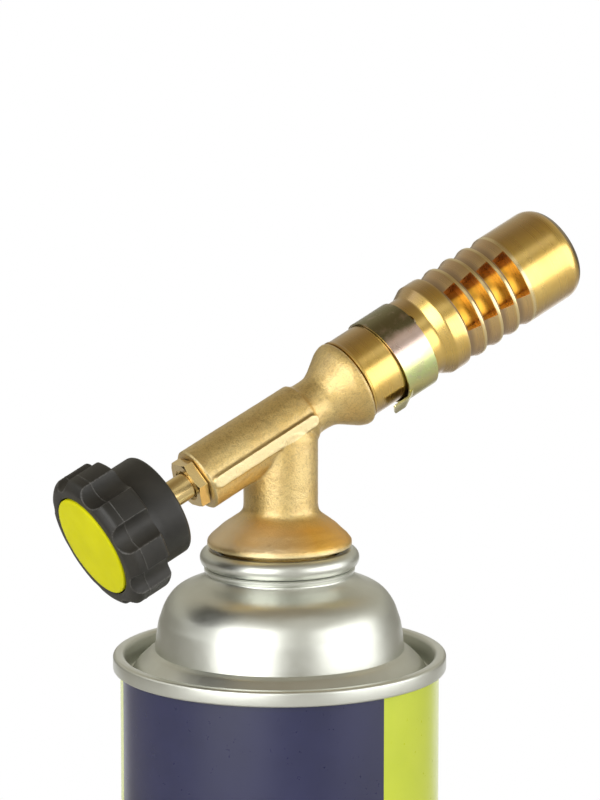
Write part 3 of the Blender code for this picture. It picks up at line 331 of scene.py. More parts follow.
def noise_node(tree, vector, scale, detail, rough=0.6):
    node = tree.nodes.new("ShaderNodeTexNoise")
    for label, value in (("Vector", vector), ("Scale", scale), ("Detail", detail), ("Roughness", rough)):
        feed(tree, node.inputs[label], value)
    return node.outputs["Fac"]


def spread(tree, value, low, high, to_low=0.0, to_high=1.0):
    """What lies between low and high, stretched to lie between two other values."""
    return add_node(tree, "MapRange", value, low, high, to_low, to_high).outputs[0]


def fade(tree, value, first, last, start=0.0):
    """A mask that grows from 0 to 1 between two places, in millimetres from the start."""
    return spread(tree, value, start + first * MM, start + last * MM)


def mix_colour(tree, factor, first, second):
    node = add_node(tree, "Mix", factor, data_type="RGBA")
    colour_a, colour_b = node.inputs[6], node.inputs[7]
    feed(tree, colour_a, first)
    feed(tree, colour_b, second)
    return node.outputs[2]


def tinted(tree, colour, mask, share, tint):
    """Lays a tint over a colour where a mask allows it, at most by its share."""
    return mix_colour(tree, times(tree, mask, share), colour, tint)


def new_group(name, inputs, outputs):
    """An empty group that is given a position and some named values, and puts out named numbers."""
    group = bpy.data.node_groups.new(name, "ShaderNodeTree")
    group.interface.new_socket("Position", in_out="INPUT", socket_type="NodeSocketVector")
    for label, value in inputs.items():
        kind = "NodeSocketVector" if isinstance(value, tuple) else "NodeSocketFloat"
        group.interface.new_socket(label, in_out="INPUT", socket_type=kind).default_value = value
    for label in outputs:
        group.interface.new_socket(label, in_out="OUTPUT", socket_type="NodeSocketFloat")
    return group, group.nodes.new("NodeGroupInput").outputs, group.nodes.new("NodeGroupOutput").inputs


def use_group(tree, group, position, **values):
    node = tree.nodes.new("ShaderNodeGroup")
    node.node_tree = group
    feed(tree, node.inputs["Position"], position)
    for label, value in values.items():
        feed(tree, node.inputs[label], value)
    return node.outputs


# %% Group: grain


def make_grain_group():
    group, given, out = new_group("metal_grain", {"Size": 2000.0}, ("Height", "Specks"))
    fine = noise_node(group, given["Position"], given["Size"], 3.0, 0.65)
    coarse = noise_node(group, given["Position"], times(group, given["Size"], 0.37), 3.0)
    feed(group, out["Height"], math_node(group, "ADD", times(group, fine, 0.6), times(group, coarse, 0.4)))
    feed(group, out["Specks"], spread(group, coarse, 0.60, 0.72))
    return group


# %% Group: drift of tone


def make_drift_group():
    group, given, out = new_group("tone_drift", {"Size": 120.0}, ("Tone", "Patches"))
    tone = noise_node(group, given["Position"], given["Size"], 3.0, 0.5)
    patches = noise_node(group, given["Position"], times(group, given["Size"], 2.7), 5.0, 0.65)
    feed(group, out["Tone"], spread(group, tone, 0.35, 0.65))
    feed(group, out["Patches"], spread(group, patches, 0.52, 0.68))
    return group


# %% Group: lines left by the lathe


def make_lathe_group():
    group, given, out = new_group("lathe_lines", {"Axis": (0.0, 0.0, 1.0), "Lines": 9000.0}, ("Height", "Bands"))
    along = vector_node(group, "DOT_PRODUCT", given["Position"], given["Axis"])
    sway = noise_node(group, given["Position"], 60.0, 1.0)
    line_place = add_node(group, "CombineXYZ", times(group, along, given["Lines"]), times(group, sway, 0.6)).outputs[0]
    feed(group, out["Height"], noise_node(group, line_place, 1.0, 2.0, 0.7))
    feed(group, out["Bands"], spread(group, noise_node(group, line_place, 0.08, 2.0), 0.35, 0.65))
    return group


# %% Group: place on the slanted axis


def make_place_group():
    """Place along the axis, distance from it, and the roll round it: -1 to 1 for a whole turn, 0 straight down."""
    group, given, out = new_group("burner_place", {}, ("Along", "Reach", "Roll"))
    local = vector_node(group, "SUBTRACT", given["Position"], CROSSING)
    feed(group, out["Along"], vector_node(group, "DOT_PRODUCT", local, BURNER_WAY))
    aside = vector_node(group, "CROSS_PRODUCT", local, BURNER_WAY)
    feed(group, out["Reach"], vector_node(group, "LENGTH", aside))
    down = vector_node(group, "DOT_PRODUCT", local, (sin(TILT), 0.0, -cos(TILT)))
    roll = math_node(group, "ARCTAN2", split(group, local)["Y"], down)
    feed(group, out["Roll"], math_node(group, "DIVIDE", roll, pi))
    return group


GRAIN = make_grain_group()
DRIFT = make_drift_group()
LATHE = make_lathe_group()
PLACE = make_place_group()
print("groups:", [g.name for g in (GRAIN, DRIFT, LATHE, PLACE)])

# %% [markdown]
# ## Finishes
# Brass comes in three states here. The body is a hot forging that was blasted: matt, grainy, a little orange where
# it is thin and tarnished. The burner tube is turned and polished, so it mirrors the lamps in long soft bands. The
# tube seen through the slots is drawn brass that the flame has warmed to orange. Each is a Principled material whose
# colour, roughness and bump come from the shared groups.

# %% Material helpers


def new_material(name):
    """A material, its node tree, the sockets of its Principled node and the place on the object."""
    material = bpy.data.materials.new(name)
    material.use_nodes = True
    tree = material.node_tree
    return material, tree, tree.nodes["Principled BSDF"].inputs, tree.nodes.new("ShaderNodeTexCoord").outputs["Object"]


def lay_on(tree, shader, colour, roughness, height, strength, depth):
    """Gives the Principled node its colour, its roughness and a bump so many millimetres deep."""
    feed(tree, shader["Base Color"], colour)
    feed(tree, shader["Roughness"], roughness)
    node = tree.nodes.new("ShaderNodeBump")
    for label, value in (("Strength", strength), ("Distance", depth * MM), ("Height", height)):
        feed(tree, node.inputs[label], value)
    feed(tree, shader["Normal"], node.outputs["Normal"])


def read_mark(tree, label):
    return add_node(tree, "Attribute", attribute_name=label).outputs["Fac"]


# %% Forged brass


def make_forged_brass():
    material, tree, shader, place = new_material("forged_brass")
    grain = use_group(tree, GRAIN, place, Size=3000.0)
    drift = use_group(tree, DRIFT, place, Size=90.0)
    grit = spread(tree, grain["Height"], 0.52, 0.40)
    colour = mix_colour(tree, drift["Tone"], (0.76, 0.53, 0.17), (0.83, 0.64, 0.27))
    # Painted shade darkens the ribs' upper roots and the arm's corner; the rubbed rib faces and edges are partly wear
    # and partly a painted highlight.
    for mask, share, tint in ((drift["Patches"], 0.40, (0.60, 0.38, 0.13)), (grit, 0.55, (0.48, 0.33, 0.12)),
                              (grain["Specks"], 0.35, (0.36, 0.23, 0.08)),
                              (read_mark(tree, "painted_shade"), 0.75, (0.26, 0.16, 0.05)),
                              (read_mark(tree, "worn_and_highlight"), 0.65, (0.98, 0.86, 0.52))):
        colour = tinted(tree, colour, mask, share, tint)
    # The flange's cone is stained orange, more and more towards the burner's side.
    ways = split(tree, place)
    flange_cone = times(tree, fade(tree, ways["Z"], 30, 27.5, SEAM_Z), fade(tree, ways["Z"], 23.2, 24.4, SEAM_Z))
    stain = mix_colour(tree, fade(tree, ways["X"], -9, 1, CAN_X), (0.92, 0.72, 0.44), (1.0, 0.55, 0.07))
    colour = tinted(tree, colour, flange_cone, 0.92, stain)
    shader["Metallic"].default_value = 1.0
    shader["Coat Weight"].default_value = 0.6
    shader["Coat IOR"].default_value = 1.8
    shader["Coat Roughness"].default_value = 0.32
    lay_on(tree, shader, colour, spread(tree, grain["Height"], 0.3, 0.7, 0.38, 0.50), grain["Height"], 1.0, 0.18)
    return material


# %% Tarnish, painted shade and painted highlights on the head, and painted shade behind its windows
BRIGHT_SIDE = -0.583
WINDOW_MIDDLE = radians(-108)
WINDOW_SETS = 3


def head_tarnish_and_painted_light(tree, place, colour):
    """Painted shade off the lit side and in grooves, dull slopes behind, worn crests with a painted highlight."""
    spot = use_group(tree, PLACE, place)
    away = math_node(tree, "ABSOLUTE", math_node(tree, "SUBTRACT", spot["Roll"], BRIGHT_SIDE))
    ribs = times(tree, fade(tree, spot["Along"], 42, 43), fade(tree, spot["Along"], 60.5, 60))
    groove_shade = times(tree, fade(tree, spot["Reach"], 9.66, 9.36), fade(tree, spot["Along"], 39, 42))
    slope = times(tree, fade(tree, spot["Reach"], 10.24, 10.12), ribs)
    crest_wear_and_highlight = times(tree, fade(tree, spot["Reach"], 10.17, 10.24), ribs)
    for mask, share, tint in ((spread(tree, away, 0.20, 0.33), 0.8, (0.52, 0.34, 0.15)),
                              (groove_shade, 0.85, (0.16, 0.10, 0.04)), (slope, 0.55, (0.64, 0.42, 0.24)),
                              (crest_wear_and_highlight, 0.7, (1.0, 0.84, 0.48))):
        colour = tinted(tree, colour, mask, share, tint)
    return colour


def window_shade(tree, place, colour):
    """Painted shade, brown, under the walls between the windows; the plain colour in the middle of each window."""
    turn = times(tree, use_group(tree, PLACE, place)["Roll"], WINDOW_SETS * pi)
    wave = math_node(tree, "COSINE", math_node(tree, "SUBTRACT", turn, WINDOW_SETS * WINDOW_MIDDLE))
    return mix_colour(tree, spread(tree, wave, 0.48, 0.20), colour, (0.36, 0.13, 0.02))


# %% Turned and polished brass


def make_turned_brass(name, axis, light, deep, roughness, strength=0.12, coat=0.7, tarnish_and_painted_light=None):
    """Brass with lathe lines round an axis; a function (tree, place, colour) may add tarnish and painted light."""
    material, tree, shader, place = new_material(name)
    lathe = use_group(tree, LATHE, place, Axis=axis, Lines=9000.0)
    drift = use_group(tree, DRIFT, place, Size=110.0)
    colour = mix_colour(tree, drift["Tone"], deep, light)
    colour = tinted(tree, colour, drift["Patches"], 0.18, (0.55, 0.34, 0.14))
    if tarnish_and_painted_light:
        colour = tarnish_and_painted_light(tree, place, colour)
    shader["Metallic"].default_value = 1.0
    shader["Coat Weight"].default_value = coat
    shader["Coat IOR"].default_value = 1.8
    shader["Coat Roughness"].default_value = 0.2
    rough = spread(tree, lathe["Bands"], 0.0, 1.0, roughness * 0.93, roughness * 1.08)
    lay_on(tree, shader, colour, rough, lathe["Height"], strength, 0.02)
    return material


UPRIGHT = (0.0, 0.0, 1.0)
FORGED_BRASS = make_forged_brass()
HEAD_BRASS = make_turned_brass("polished_brass", BURNER_WAY, (0.92, 0.64, 0.17), (0.86, 0.56, 0.12), 0.28,
                               strength=0.006, tarnish_and_painted_light=head_tarnish_and_painted_light)
FITTING_BRASS = make_turned_brass("turned_brass", BURNER_WAY, (0.90, 0.69, 0.30), (0.84, 0.60, 0.22), 0.22)
INNER_BRASS = make_turned_brass("inner_brass", BURNER_WAY, (1.0, 0.58, 0.09), (0.80, 0.40, 0.04), 0.36,
                                coat=0.0, tarnish_and_painted_light=window_shade)
UPRIGHT_BRASS = make_turned_brass("upright_brass", UPRIGHT, (0.90, 0.69, 0.30), (0.84, 0.60, 0.22), 0.25)
print("brass:", [m.name for m in (FORGED_BRASS, HEAD_BRASS, FITTING_BRASS, INNER_BRASS, UPRIGHT_BRASS)])

# %% [markdown]
# The air clip is spring steel with yellow zinc: the thin film on it drifts between olive, straw, pink and green from
# place to place. The film's colour is laid on by the roll angle round the burner's axis, broken up by slow noise. The
# same colours also hold painted light: dark olive on top and underneath, where the clip lies in shade, and pale tones
# on the side that faces the lamps, as a painted highlight.

# %% Yellow zinc


def make_yellow_zinc():
    material, tree, shader, place = new_material("yellow_zinc")
    grain = use_group(tree, GRAIN, place, Size=1500.0)
    drift = use_group(tree, DRIFT, place, Size=160.0)
    roll = math_node(tree, "ADD", use_group(tree, PLACE, place)["Roll"], times(tree, drift["Tone"], 0.05))
    ramp = add_node(tree, "ValToRGB", spread(tree, roll, -1.0, 1.0))
    # Painted light in the stops: dark where the top and the underside lie in shade, pale along the band facing the
    # lamps.
    film_and_light_stops = ((0.0, (0.30, 0.28, 0.16)), (0.14, (0.26, 0.24, 0.14)), (0.165, (0.60, 0.44, 0.36)),
             (0.20, (0.84, 0.66, 0.60)), (0.24, (0.86, 0.76, 0.62)), (0.27, (0.84, 0.88, 0.42)),
             (0.31, (0.74, 0.86, 0.40)), (0.36, (0.80, 0.74, 0.32)), (0.40, (0.42, 0.38, 0.13)),
             (0.56, (0.34, 0.31, 0.11)), (0.75, (0.52, 0.42, 0.28)), (1.0, (0.30, 0.28, 0.16)))
    while len(ramp.color_ramp.elements) < len(film_and_light_stops):
        ramp.color_ramp.elements.new(0.5)
    for element, (at, stop_colour) in zip(ramp.color_ramp.elements, film_and_light_stops):
        element.position = at
        element.color = (*stop_colour, 1)
    colour = tinted(tree, ramp.outputs["Color"], drift["Patches"], 0.4, (0.70, 0.56, 0.50))
    shader["Metallic"].default_value = 1.0
    lay_on(tree, shader, colour, spread(tree, drift["Tone"], 0.0, 1.0, 0.22, 0.32), grain["Height"], 0.06, 0.03)
    return material


YELLOW_ZINC = make_yellow_zinc()

# %% [markdown]
# The other finishes are simpler and share one recipe: two close tones that drift into each other, and a grain that
# varies the roughness a little. Tinplate is soft silver with a faint yellow cast, and its highlights are wide, because
# the tin layer is satin. The knob is black plastic with a fine spark texture from its mould, a little lighter along
# the edges that fingers rub. The cap is a satin lime plastic. Rubber and the valve's white plastic stay inside.

# %% Tinplate, steel, bronze, plastics and rubber


def make_surface(name, deep, light, rough, grain_size, drift_size, bump, metallic=0.0, patch=None, wear=None):
    """rough holds the lowest and the highest roughness, bump its strength and its depth in millimetres."""
    material, tree, shader, place = new_material(name)
    grain = use_group(tree, GRAIN, place, Size=grain_size)
    drift = use_group(tree, DRIFT, place, Size=drift_size)
    colour = mix_colour(tree, drift["Tone"], deep, light)
    if patch:
        colour = tinted(tree, colour, drift["Patches"], 0.12, patch)
    if wear:
        colour = tinted(tree, colour, read_mark(tree, "rubbed"), spread(tree, grain["Height"], 0.38, 0.62), wear)
    shader["Metallic"].default_value = metallic
    lay_on(tree, shader, colour, spread(tree, grain["Height"], 0.3, 0.7, *rough), grain["Height"], *bump)
    return material


TINPLATE = make_surface("tinplate", (0.69, 0.705, 0.65), (0.76, 0.78, 0.73), (0.34, 0.42), 1400.0, 70.0, (0.05, 0.03),
                        metallic=1.0, patch=(0.55, 0.55, 0.50))
STEEL = make_surface("satin_steel", (0.50, 0.49, 0.47), (0.62, 0.61, 0.58), (0.272, 0.384), 1800.0, 150.0,
                     (0.08, 0.04), metallic=1.0)
BRONZE = make_surface("sintered_bronze", (0.30, 0.17, 0.08), (0.48, 0.30, 0.16), (0.51, 0.72), 3500.0, 150.0,
                      (0.5, 0.04), metallic=1.0)
KNOB_PLASTIC = make_surface("black_plastic", (0.015, 0.014, 0.012), (0.026, 0.024, 0.020), (0.414, 0.5152), 2600.0,
                            140.0, (0.25, 0.06), wear=(0.16, 0.155, 0.145))
CAP_PLASTIC = make_surface("lime_plastic", (0.67, 0.65, 0.004), (0.72, 0.70, 0.006), (0.45, 0.56), 900.0, 140.0,
                           (0.05, 0.06))
CAP_PLASTIC.node_tree.nodes["Principled BSDF"].inputs["Specular IOR Level"].default_value = 0.12
RUBBER = make_surface("black_rubber", (0.018, 0.018, 0.018), (0.030, 0.030, 0.030), (0.63, 0.784), 2200.0, 140.0,
                      (0.2, 0.06))
VALVE_PLASTIC = make_surface("valve_plastic", (0.70, 0.70, 0.66), (0.78, 0.78, 0.75), (0.36, 0.448), 1200.0, 140.0,
                             (0.05, 0.06))

# %% [markdown]
# The can's wall is printed: a plain dark blue panel in front and lime round the back, under a glossy varnish. The
# print has no words here. The two inks meet on upright lines, placed by the bearing round the can.

# %% Printed wall
PANEL_LEFT, PANEL_RIGHT = FRONT - 77 + 360, FRONT + 40


def make_print():
    material, tree, shader, place = new_material("printed_wall")
    grain = use_group(tree, GRAIN, place, Size=900.0)
    drift = use_group(tree, DRIFT, place, Size=60.0)
    ways = split(tree, place)
    bearing = math_node(tree, "ARCTAN2", ways["Y"], math_node(tree, "SUBTRACT", ways["X"], CAN_X))
    bearing = times(tree, bearing, 180 / pi)
    panel = math_node(tree, "ADD", math_node(tree, "GREATER_THAN", bearing, PANEL_LEFT),
                      math_node(tree, "LESS_THAN", bearing, PANEL_RIGHT))
    lime = mix_colour(tree, drift["Tone"], (0.56, 0.66, 0.030), (0.62, 0.71, 0.040))
    navy = mix_colour(tree, drift["Tone"], (0.012, 0.015, 0.062), (0.018, 0.021, 0.080))
    shader["Coat Weight"].default_value = 0.5
    shader["Coat Roughness"].default_value = 0.12
    lay_on(tree, shader, mix_colour(tree, panel, lime, navy), spread(tree, grain["Height"], 0.3, 0.7, 0.26, 0.34),
           grain["Height"], 0.03, 0.03)
    return material


PRINT = make_print()

# %% [markdown]
# ## The cartridge
# A can of this kind is four sheets: a rolled wall, two pressed ends whose rims are folded over the wall in a double
# seam, and a cup clinched over the mouth. Seen from outside each is a turned skin, so each is swept from one line.

# %% Wall of the can
wall = turned("wall", [(32.55, 0.65), (32.85, 0.65), (32.85, 157.35), (32.55, 157.35)], FLOOR_AXIS, 192)
dress(wall, "cartridge", "print", PRINT, "can_body")

# %% Upper end with its seam, shoulder, dome and curl


def seam_line(up):
    """The folded seam's outside, from its foot outside the wall over the top to the chuck wall inside."""
    outside = [(33.15, -3.2 * up)]
    outside += arc((33.95, -2.8 * up), 0.4, -90 * up, 0, 5)
    outside += arc((33.7, -0.65 * up), 0.65, 0, 90 * up, 8)
    outside += arc((32.7, -0.8 * up), 0.8, 90 * up, 180 * up, 8)
    return outside


dome_turns = [(25.7, 1.0), (25.55, 2.6), (25.25, 4.9), (24.95, 6.6), (24.55, 7.9), (23.7, 10.2), (22.4, 12.2),
              (20.95, 13.5), (19.3, 14.35), (17.7, 14.95), (16.5, 15.5), (15.7, 16.1), (15.25, 16.6), (15.15, 16.9)]
shoulder_turns = [(30.9, -4.65), (30.45, -4.2), (30.2, -3.2), (29.3, -1.9), (28.0, -0.6), (26.9, 0.35), (26.1, 0.75)]
gully = [(31.9, -0.8), (31.9, -4.0)] + arc((31.4, -4.3), 0.5, 0, -180, 7)
upper_line = gully + smooth_line(shoulder_turns) + smooth_line(dome_turns, 5)
inner_line = moved_left(upper_line, 0.3)[::-1]
can_mouth = [(15.32, 17.05), (15.5, 17.4), (15.5, 17.95), (15.15, 18.2), (13.3, 18.1), (12.8, 18.3), (12.75, 19.2),
             (13.1, 20.2), (14.2, 20.85), (15.0, 20.5), (15.3, 19.7), (15.2, 19.0), (14.9, 18.75), (14.75, 19.0),
             (14.95, 19.6), (14.2, 20.4), (13.3, 19.2), (13.3, 18.5), (14.7, 17.6)]
upper_end = turned("upper_end", seam_line(1) + upper_line[1:] + can_mouth + inner_line
                   + [(32.25, -0.35), (33.15, -0.35)], SEAM_AXIS, 192)
dress(upper_end, "cartridge", "tinplate", TINPLATE, "can_dome")

# %% Lower end
lower_line = seam_line(-1) + [(31.9, 4.65), (31.2, 4.9)] + smooth_line(
    [(29.0, 4.68), (26.1, 6.12), (17.4, 7.65), (8.7, 8.33), (0.0, 8.5)], 6)
lower_back = [(0.0, 8.8), (17.4, 7.95), (26.1, 6.42), (29.0, 4.98), (31.2, 5.2), (32.25, 4.9), (32.25, 0.35),
              (33.15, 0.35)]
lower_end = turned("lower_end", lower_line + lower_back, FLOOR_AXIS, 192)
dress(lower_end, "cartridge", "tinplate", TINPLATE, "can_bottom")

# %% [markdown]
# The cup's boss carries the only real thread that can be seen, and only when the torch is unscrewed. A thread is a
# sweep whose radius depends on height minus turn: one pitch further up for every turn round the axis.

# %% Valve cup with its threaded boss
THREAD_PITCH = 25.4 / 28
THREAD_FROM, THREAD_TO = 17.9, 26.0
THREAD_DEPTH = 0.42
BOSS_ROWS = 110


def boss_thread(radius, height, roll):
    if not (5.3 <= radius <= 5.6 and THREAD_FROM <= height <= THREAD_TO):
        return radius
    phase = (height / THREAD_PITCH - roll / (2 * pi)) % 1.0
    run_out = min(1.0, (height - THREAD_FROM) / 0.6, (THREAD_TO - height) / 0.5)
    return radius - THREAD_DEPTH * run_out * abs(2 * phase - 1)


cup_turns = arc((14.45, 20.15), 1.95, -70, 80, 11) + [(13.3, 21.85), (12.4, 21.2), (12.05, 20.2), (12.05, 18.2),
                                                      (11.6, 17.3), (10.9, 17.0)]
cup_line = smooth_line(cup_turns, 3) + [(7.2, 17.0), (6.2, 17.1), (5.6, 17.5), (5.5, 17.8)]
cup_line += [(5.5, 17.8 + 0.075 * i) for i in range(1, BOSS_ROWS + 1)]
cup_line += [(5.3, 26.3), (5.1, 26.4), (1.9, 26.4), (1.9, 25.2), (4.4, 25.2), (4.4, 17.0), (7.0, 16.65), (10.9, 16.65)]
cup_line += [(11.75, 17.2), (12.4, 18.2), (12.4, 20.2), (13.4, 21.5), (14.6, 21.7), (15.6, 21.1), (16.05, 20.15),
             (15.7, 19.2), (15.0, 18.6)]
cup = turned("cup", cup_line, SEAM_AXIS, 128, reach=boss_thread)
dress(cup, "cartridge", "tinplate", TINPLATE, "valve_cup")

# %% [markdown]
# ## The torch body
# The body is a forging that was machined afterwards. Arm, column and rib are joined, remeshed into one skin and
# relaxed, which rounds every inner corner the way a forging die does. Only then come the cuts of the lathe: the arm's
# end, the cup, the socket and the flange's lip stay crisp, because they are cut through the finished skin.

# %% Lines of arm and column
COLUMN_RADIUS = 7.65
RIB_HALF_WIDTH = 7.05
RIB_HALF_HEIGHT = 1.3
arm_line = [(0, -22.8), (6.62, -22.8)]
arm_line += smooth_line([(6.62, -21.0), (6.58, -12.0), (6.47, 0.0), (6.46, 4.6)])
arm_line += smooth_line([(6.46, 5.15), (6.38, 5.45), (6.0, 5.8), (5.72, 6.4), (5.6, 7.2), (5.57, 8.2), (5.60, 9.2),
                         (5.75, 10.3), (6.1, 11.2), (6.63, 12.2), (7.55, 13.6), (8.2, 14.6), (8.85, 15.6),
                         (9.2, 16.4), (9.4, 17.0)])
arm_line += [(9.43, 17.3), (9.43, 19.4), (0, 19.4)]
column_line = [(0, 17.4), (12.6, 17.4), (12.6, 21.4), (14.88, 21.4), (14.88, 23.3)]
column_line += smooth_line([(14.85, 23.75), (14.5, 24.25), (13.9, 24.95), (13.2, 25.55), (12.5, 26.2), (11.9, 26.75),
                            (11.0, 27.4), (10.1, 28.05), (9.15, 28.7), (8.4, 29.3), (7.9, 30.0), (7.7, 30.8),
                            (7.66, 31.8)])
column_line += [(COLUMN_RADIUS, 34.0), (COLUMN_RADIUS, 38.0), (COLUMN_RADIUS, 42.0), (COLUMN_RADIUS, 45.0)]
column_line += smooth_line([(COLUMN_RADIUS, 45.4), (7.5, 46.0), (7.1, 46.9), (6.4, 48.0), (4.6, 49.4), (0, 50.5)])


def column_reach(radius, height, roll):
    """The shaft stands a little off the flange's centre, as the arm's skin does."""
    return radius + FORGING_DROP * max(0.0, min(1.0, (height - 24.5) / 5.5)) * cos(roll)


def rib_shape():
    """A bar with half-round ends on the parting line, a little proud on both sides of the arm."""
    outline = arc((4.4, 0.0), RIB_HALF_HEIGHT, -90, 90, 13) + arc((-19.7, 0.0), RIB_HALF_HEIGHT, 90, 270, 13)
    shape = bmesh.new()
    near, far = [[shape.verts.new((drop * MM, side * MM, along * MM)) for along, drop in outline]
                 for side in (-RIB_HALF_WIDTH, RIB_HALF_WIDTH)]
    shape.faces.new(near)
    shape.faces.new(far[::-1])
    for i in range(len(outline)):
        k = (i + 1) % len(outline)
        shape.faces.new((near[i], near[k], far[k], far[i]))
    return shape


# %% Join, remesh and relax
forging = turned("torch_forging", arm_line, FORGING_AXIS, 120, closed_line=False)
machine(forging, 32, ("UNION", helper_turned("column_shape", column_line, SEAM_AXIS, column_reach)),
        ("UNION", plain_piece("rib_shape", rib_shape(), FORGING_AXIS)))
remesh = forging.modifiers.new("one_skin", "REMESH")
remesh.mode = "VOXEL"
remesh.voxel_size = 0.26 * MM
relax = forging.modifiers.new("relax", "SMOOTH")
relax.factor = 0.5
relax.iterations = 4
settle(forging)
print("forged skin:", len(forging.data.vertices), "points")

# %% [markdown]
# A forged skin is never quite even. Each point is moved along its normal by slow and fast noise of a few hundredths
# of a millimetre. The new places are written back all at once, because a mesh works out its normals again after
# every single change.

# %% Uneven skin
moved = []
for vert in forging.data.vertices:
    point = vert.co
    shift = 0.035 * noise.noise(point * 600) + 0.018 * noise.noise(point * 1700)
    moved.extend(point + vert.normal * shift * MM)
forging.data.vertices.foreach_set("co", moved)

# %% Machine the forging
arm_end_line = [(0, -21.6), (6.3, -21.6), (6.7, -21.2), (12.0, -21.2), (12.0, -26.0), (0, -26.0)]
arm_bore_line = [(0, -23.0), (4.6, -23.0), (4.6, -9.3), (3.4, -9.3), (3.4, -3.6), (2.2, -3.6), (2.2, 2.0), (0, 2.0)]
cup_face_line = [(0, 17.8), (9.05, 17.8), (9.3, 17.62), (9.47, 17.3), (12.0, 17.3), (12.0, 22.0), (0, 22.0)]
cup_bore_line = [(0, 14.8), (7.3, 14.8), (7.3, 20.0), (0, 20.0)]
lip_line = [(0, 15.0), (20.0, 15.0), (20.0, 23.1), (14.92, 23.1), (14.75, 22.82), (14.4, 22.68), (11.5, 22.65),
            (11.5, 18.9), (11.1, 18.5), (0, 18.5)]
socket_line = [(0, 17.0), (5.8, 17.0), (5.8, 28.2), (2.5, 28.2), (2.5, 38.0), (0, 38.0)]
machine(forging, 30, *[("DIFFERENCE", helper_turned(name, line, axis)) for name, line, axis in (
    ("arm_end", arm_end_line, FORGING_AXIS), ("arm_bore", arm_bore_line, BURNER_AXIS),
    ("cup_face", cup_face_line, FORGING_AXIS), ("cup_bore", cup_bore_line, BURNER_AXIS),
    ("flange_lip", lip_line, SEAM_AXIS), ("socket", socket_line, SEAM_AXIS))])

# %% [markdown]
# Two marks are written on the finished mesh for the material: painted shade along the ribs' upper roots and in the
# corner between arm and column, and wear that is partly a painted highlight, where hands and tools have rubbed the
# ribs' faces and the turned edges bright.

# %% Painted shade, and wear with a painted highlight
to_forging, to_seam = FORGING_AXIS.inverted(), SEAM_AXIS.inverted()
painted_shade_values, worn_and_highlight_values = [], []
for vert in forging.data.vertices:
    local, seam_place = to_forging @ vert.co / MM, to_seam @ vert.co / MM
    reach_out = hypot(local.x, local.y)
    near_column = abs(hypot(seam_place.x - FORGING_DROP, seam_place.y) - COLUMN_RADIUS)
    # The first value is painted shade in the creases, the second wear and a painted highlight on rib faces and edges.
    corner_shade = worn_and_highlight = 0.0
    if -14 < local.z < 6 and seam_place.z < 50:
        corner_shade = 0.3 * max(0.0, 1 - max(near_column, abs(reach_out - 6.5)) / 0.9)
    if abs(local.y) > 5.9 and -21 < local.z < 5.7:
        corner_shade = max(corner_shade, 1 - hypot(local.x + 1.45, reach_out - 6.6) / 0.45)
        if abs(local.x) < RIB_HALF_HEIGHT - 0.05 and abs(local.y) > RIB_HALF_WIDTH - 0.2:
            worn_and_highlight = 0.8
    for edge, rim_radius in ((-21.4, 6.5), (17.5, 9.4)):
        worn_and_highlight = max(worn_and_highlight, 1 - hypot(local.z - edge, reach_out - rim_radius) / 0.35)
    worn_and_highlight = max(worn_and_highlight, 1 - hypot(seam_place.z - 23.1, hypot(seam_place.x, seam_place.y) - 14.85) / 0.6)
    painted_shade_values.append(corner_shade)
    worn_and_highlight_values.append(worn_and_highlight)
write_mark(forging, "painted_shade", painted_shade_values)
write_mark(forging, "worn_and_highlight", worn_and_highlight_values)
dress(forging, "torch", "forged_brass", FORGED_BRASS, "torch_body")

# %% [markdown]
# ## The burner head
# The head is one turned tube. Between its ribs three sets of windows open the wall, so the sweep leaves those faces
# out on both skins and closes the cut with walls, which keeps the shading of the tube clean right up to the edge.

# %% Lines of the head
GROOVE_PITCH = 4.4
FIRST_GROOVE = 42.6
GROOVES = 4
WINDOW_FROM, WINDOW_TO = 0.72, 3.62
HEAD_RADIUS = 10.26
HEAD_BORE = 7.68
HEAD_EDGE = 4.3
HEAD_EDGE_START = 70.26
SLOT_SPAN = 62
HEAD_ROLL = -114
HEAD_SHARP = 24
groove_turns = [(-0.22, 10.26), (-0.08, 10.235), (0.0, 10.15), (0.05, 10.0), (0.18, 9.6), (0.34, 9.22), (0.5, 9.16),
                (WINDOW_FROM, 9.22), (1.2, 9.38), (1.7, 9.57), (2.2, 9.75), (2.7, 9.92), (3.2, 10.07),
                (WINDOW_TO, 10.19), (3.85, 10.24)]
outer = [(7.0, 15.1), (7.0, 18.0), (8.8, 18.0), (9.0, 18.08), (9.06, 18.25), (9.06, 18.5), (8.93, 18.7)]
outer += [(8.9, 19.0 + i) for i in range(18)]
outer += [(8.92, 36.6), (8.98, 36.8), (9.1, 36.98), (10.1, 38.85), (10.2, 39.02), (10.25, 39.2), (HEAD_RADIUS, 39.5),
          (HEAD_RADIUS, 41.0)]
first_groove_row = len(outer)
outer += [(radius, FIRST_GROOVE + GROOVE_PITCH * number + along) for number in range(GROOVES)
          for along, radius in groove_turns]
outer += [(HEAD_RADIUS, 61.0), (HEAD_RADIUS, 64.0), (HEAD_RADIUS, 67.0), (HEAD_RADIUS, 69.4)]
last_pair_row = len(outer) - 1
outer += arc((HEAD_RADIUS - HEAD_EDGE, HEAD_EDGE_START), HEAD_EDGE, 0, 70, 15)
outer += [(7.2, 74.31), (7.05, 74.11), (7.05, 73.0), (7.9, 72.5)]
inner = [(HEAD_BORE, p) for r, p in outer[first_groove_row:last_pair_row + 1]][::-1]
inner += [(HEAD_BORE, 36.0), (HEAD_BORE, 19.6), (6.4, 19.4), (6.4, 15.1)]
head_line = outer + inner


def partner(row):
    """The row of the bore that lies under a row of the outside."""
    return len(outer) + (last_pair_row - row)


